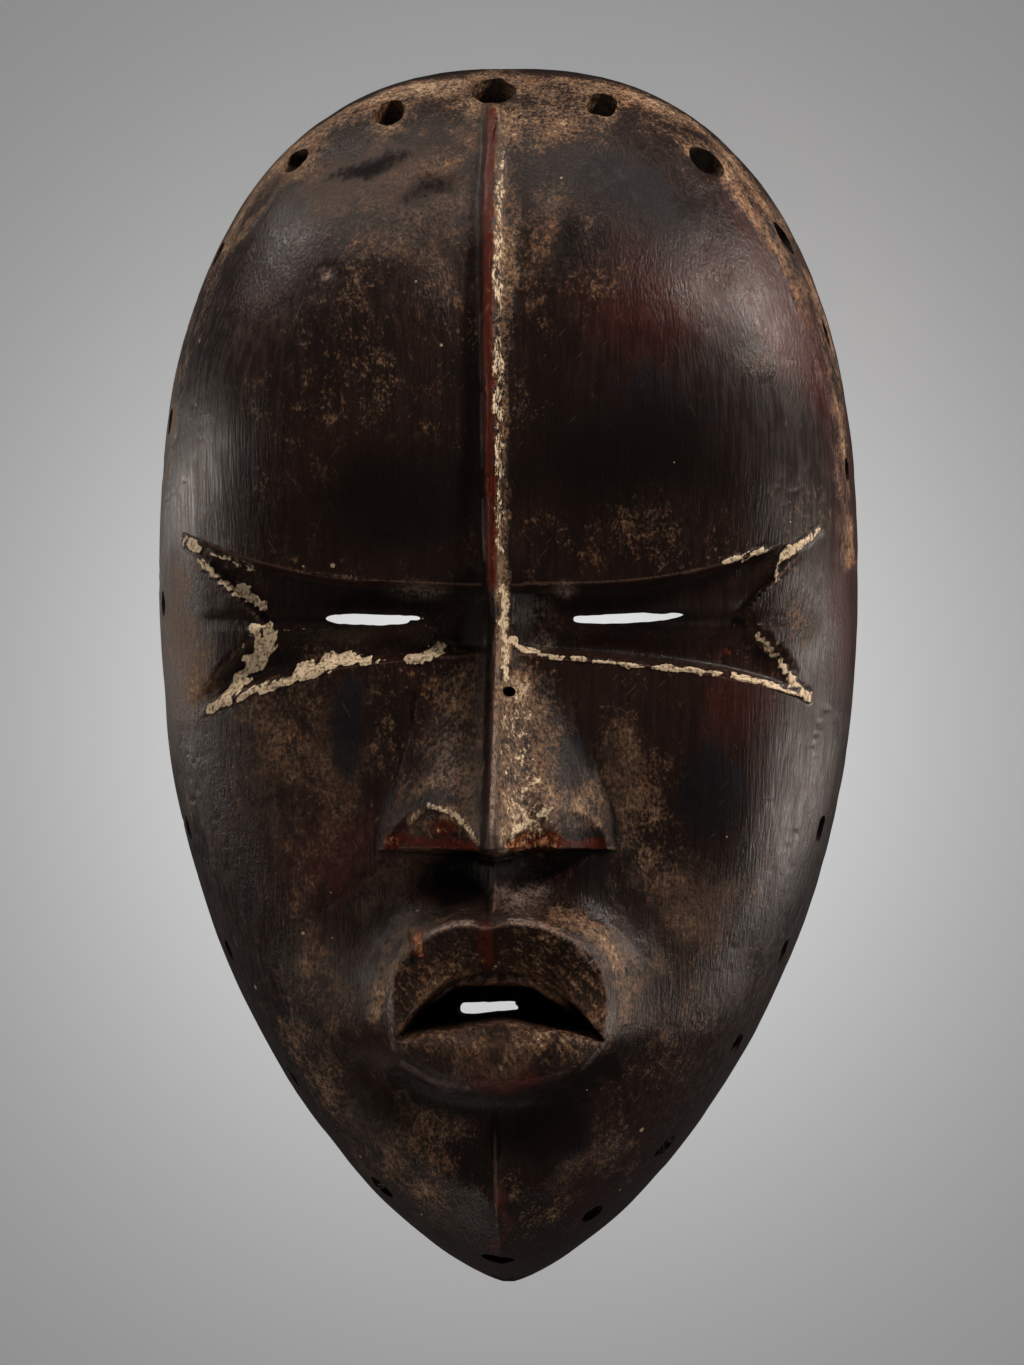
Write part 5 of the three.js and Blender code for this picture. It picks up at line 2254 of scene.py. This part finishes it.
@dataclass(frozen=True)
class FloorFinish:
    """A plain pale board."""

    colour: Colour = (0.80, 0.80, 0.80)
    glow: float = 0.17
    glow_colour: Colour = (1.0, 1.0, 1.0)
    roughness: float = 0.9
    shine: float = 0.1

    def material(self) -> bpy.types.Material:
        """Builds the floor's material.

        Returns:
            The material.
        """
        g = Graph("pale_floor")
        g.put(g.shader.inputs["Base Color"], self.colour)
        g.put(g.shader.inputs["Emission Color"], self.glow_colour)
        g.put(g.shader.inputs["Emission Strength"], self.glow)
        g.put(g.shader.inputs["Roughness"], self.roughness)
        g.put(g.shader.inputs["Specular IOR Level"], self.shine)
        return g.material


@dataclass(frozen=True)
class Lamp:
    """A soft light: where it stands, what it points at, its size and its power."""

    name: str
    place: tuple[float, float, float]
    size: tuple[float, float]
    power: float
    target: tuple[float, float, float] = (0.0, 0.0, 0.03)
    lights_floor: bool = False
    tint: Colour = (1.0, 0.89, 0.8)
    shines: bool = True


@dataclass
class Studio:
    """The pale floor, the soft lights and the camera that looks down on the mask."""

    piece: bpy.types.Object
    floor_reach: float = 3.0
    wall_height: float = 3.0
    floor_gap: float = 0.0003
    floor_segments: int = 96
    grey: Colour = (0.5, 0.5, 0.5)
    grey_strength: float = 0.07
    sensor: float = 36.0
    aim: tuple[float, float, float] = (0.0007, -0.0014, 0.004)
    distance: float = 1.8
    turned: float = 3.0
    seen_height: float = 0.2699
    lamps: tuple[Lamp, ...] = (
        Lamp("key_box", (0.66, 0.42, -0.1), (0.14, 0.3), 2.0),
        Lamp("right_strip", (0.8, -0.16, -0.17), (0.1, 0.8), 2.0),
        Lamp("left_strip", (-0.8, 0.04, -0.21), (0.1, 1.1), 1.7),
        Lamp("top_box", (-0.05, 0.85, 0.06), (0.6, 0.12), 1.2),
        Lamp("fill_box", (0.66, 0.66, 0.5), (0.22, 0.22), 10.5, shines=False),
        Lamp("nose_box", (0.62, 0.66, 0.42), (0.16, 0.16), 2.6),
        Lamp("fill_left", (-0.6, 0.75, 0.5), (0.3, 0.3), 3.4, shines=False),
        Lamp("left_box", (-0.70, 0.84, -0.08), (0.14, 0.2), 2.6),
        Lamp("low_strip", (-0.3, -0.9, -0.1), (0.6, 0.06), 0.5),
        Lamp("low_box", (-0.2, -0.8, 0.55), (0.3, 0.3), 4, shines=False),
        Lamp(
            "floor_glow", (0.0, -0.01, 0.1205), (0.05, 0.05), 0.114,
            target=(0.0, -0.01, 0.0), lights_floor=True, tint=(1.0, 1.0, 1.0),
        ),
    )

    def floor(self) -> bpy.types.Object:
        """The round board under the mask, with a pale wall far round it.

        Returns:
            The board.
        """
        bm = bmesh.new()
        bmesh.ops.create_circle(bm, cap_ends=True, segments=self.floor_segments, radius=self.floor_reach)
        raised = bmesh.ops.extrude_edge_only(bm, edges=bm.edges[:])["geom"]
        bmesh.ops.translate(bm, verts=verts_in(raised), vec=(0, 0, self.wall_height))
        bmesh.ops.translate(bm, verts=bm.verts, vec=(0, 0, -self.floor_gap))
        mesh = mesh_of(bm, "floor")
        mesh.materials.append(FloorFinish().material())
        board = linked("floor", mesh)
        board.visible_glossy = False
        board.visible_diffuse = False
        board.visible_shadow = False
        return board

    def light(self, lamp: Lamp, board: bpy.types.Object) -> None:
        """Adds one light, kept off the floor or off the mask as the lamp says.

        Args:
            lamp: The light.
            board: The floor.
        """
        data = bpy.data.lights.new(lamp.name, "AREA")
        data.shape = "RECTANGLE"
        data.size, data.size_y = lamp.size
        data.energy = lamp.power
        data.color = lamp.tint
        holder = linked(lamp.name, data)
        holder.location = lamp.place
        gaze = Vector(lamp.target) - Vector(lamp.place)
        holder.rotation_euler = gaze.to_track_quat("-Z", "Y").to_euler()
        holder.visible_camera = False
        holder.visible_glossy = lamp.shines
        lit = bpy.data.collections.new(lamp.name + "_reach")
        lit.objects.link(board if lamp.lights_floor else self.piece)
        holder.light_linking.receiver_collection = lit
        holder.light_linking.blocker_collection = lit

    def world(self) -> None:
        """A dim even grey all round."""
        world = bpy.data.worlds.new("studio")
        world.use_nodes = True
        background = world.node_tree.nodes["Background"]
        background.inputs["Color"].default_value = (*self.grey, 1.0)
        background.inputs["Strength"].default_value = self.grey_strength
        bpy.context.scene.world = world
        bpy.context.scene.view_settings.view_transform = "Standard"

    def camera(self) -> None:
        """A long lens above the mask, turned a little to its right."""
        data = bpy.data.cameras.new("camera")
        data.sensor_fit = "VERTICAL"
        data.sensor_height = self.sensor
        data.lens = self.distance * data.sensor_height / self.seen_height
        turn = math.radians(self.turned)
        back = Vector((math.sin(turn), 0, math.cos(turn)))
        right = Vector((0, 1, 0)).cross(back).normalized()
        up = back.cross(right)
        holder = linked("camera", data)
        axes = Matrix((right, up, back)).transposed().to_4x4()
        holder.matrix_world = Matrix.Translation(Vector(self.aim) + back * self.distance) @ axes
        bpy.context.scene.camera = holder

    def build(self) -> None:
        """Sets up the whole studio."""
        self.camera()
        self.world()
        board = self.floor()
        for lamp in self.lamps:
            self.light(lamp, board)


def main() -> None:
    """Builds the mask, dresses it, logs its number of faces and sets up the studio."""
    logging.basicConfig(level=logging.INFO, format="%(name)s: %(message)s")
    low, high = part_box("mask")
    outline = Outline(half_length=(high.y - low.y) / 2 / MM, half_width=(high.x - low.x) / 2 / MM)
    piece = MaskPiece(CarvedFace(outline, Dome(outline))).build()
    piece.data.materials.clear()
    piece.data.materials.append(PatinaFinish().material())
    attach(piece, "root")
    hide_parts("mask")
    LOG.info("%s: %d faces", piece.name, len(piece.data.polygons))
    Studio(piece).build()


if __name__ == "__main__":
    main()
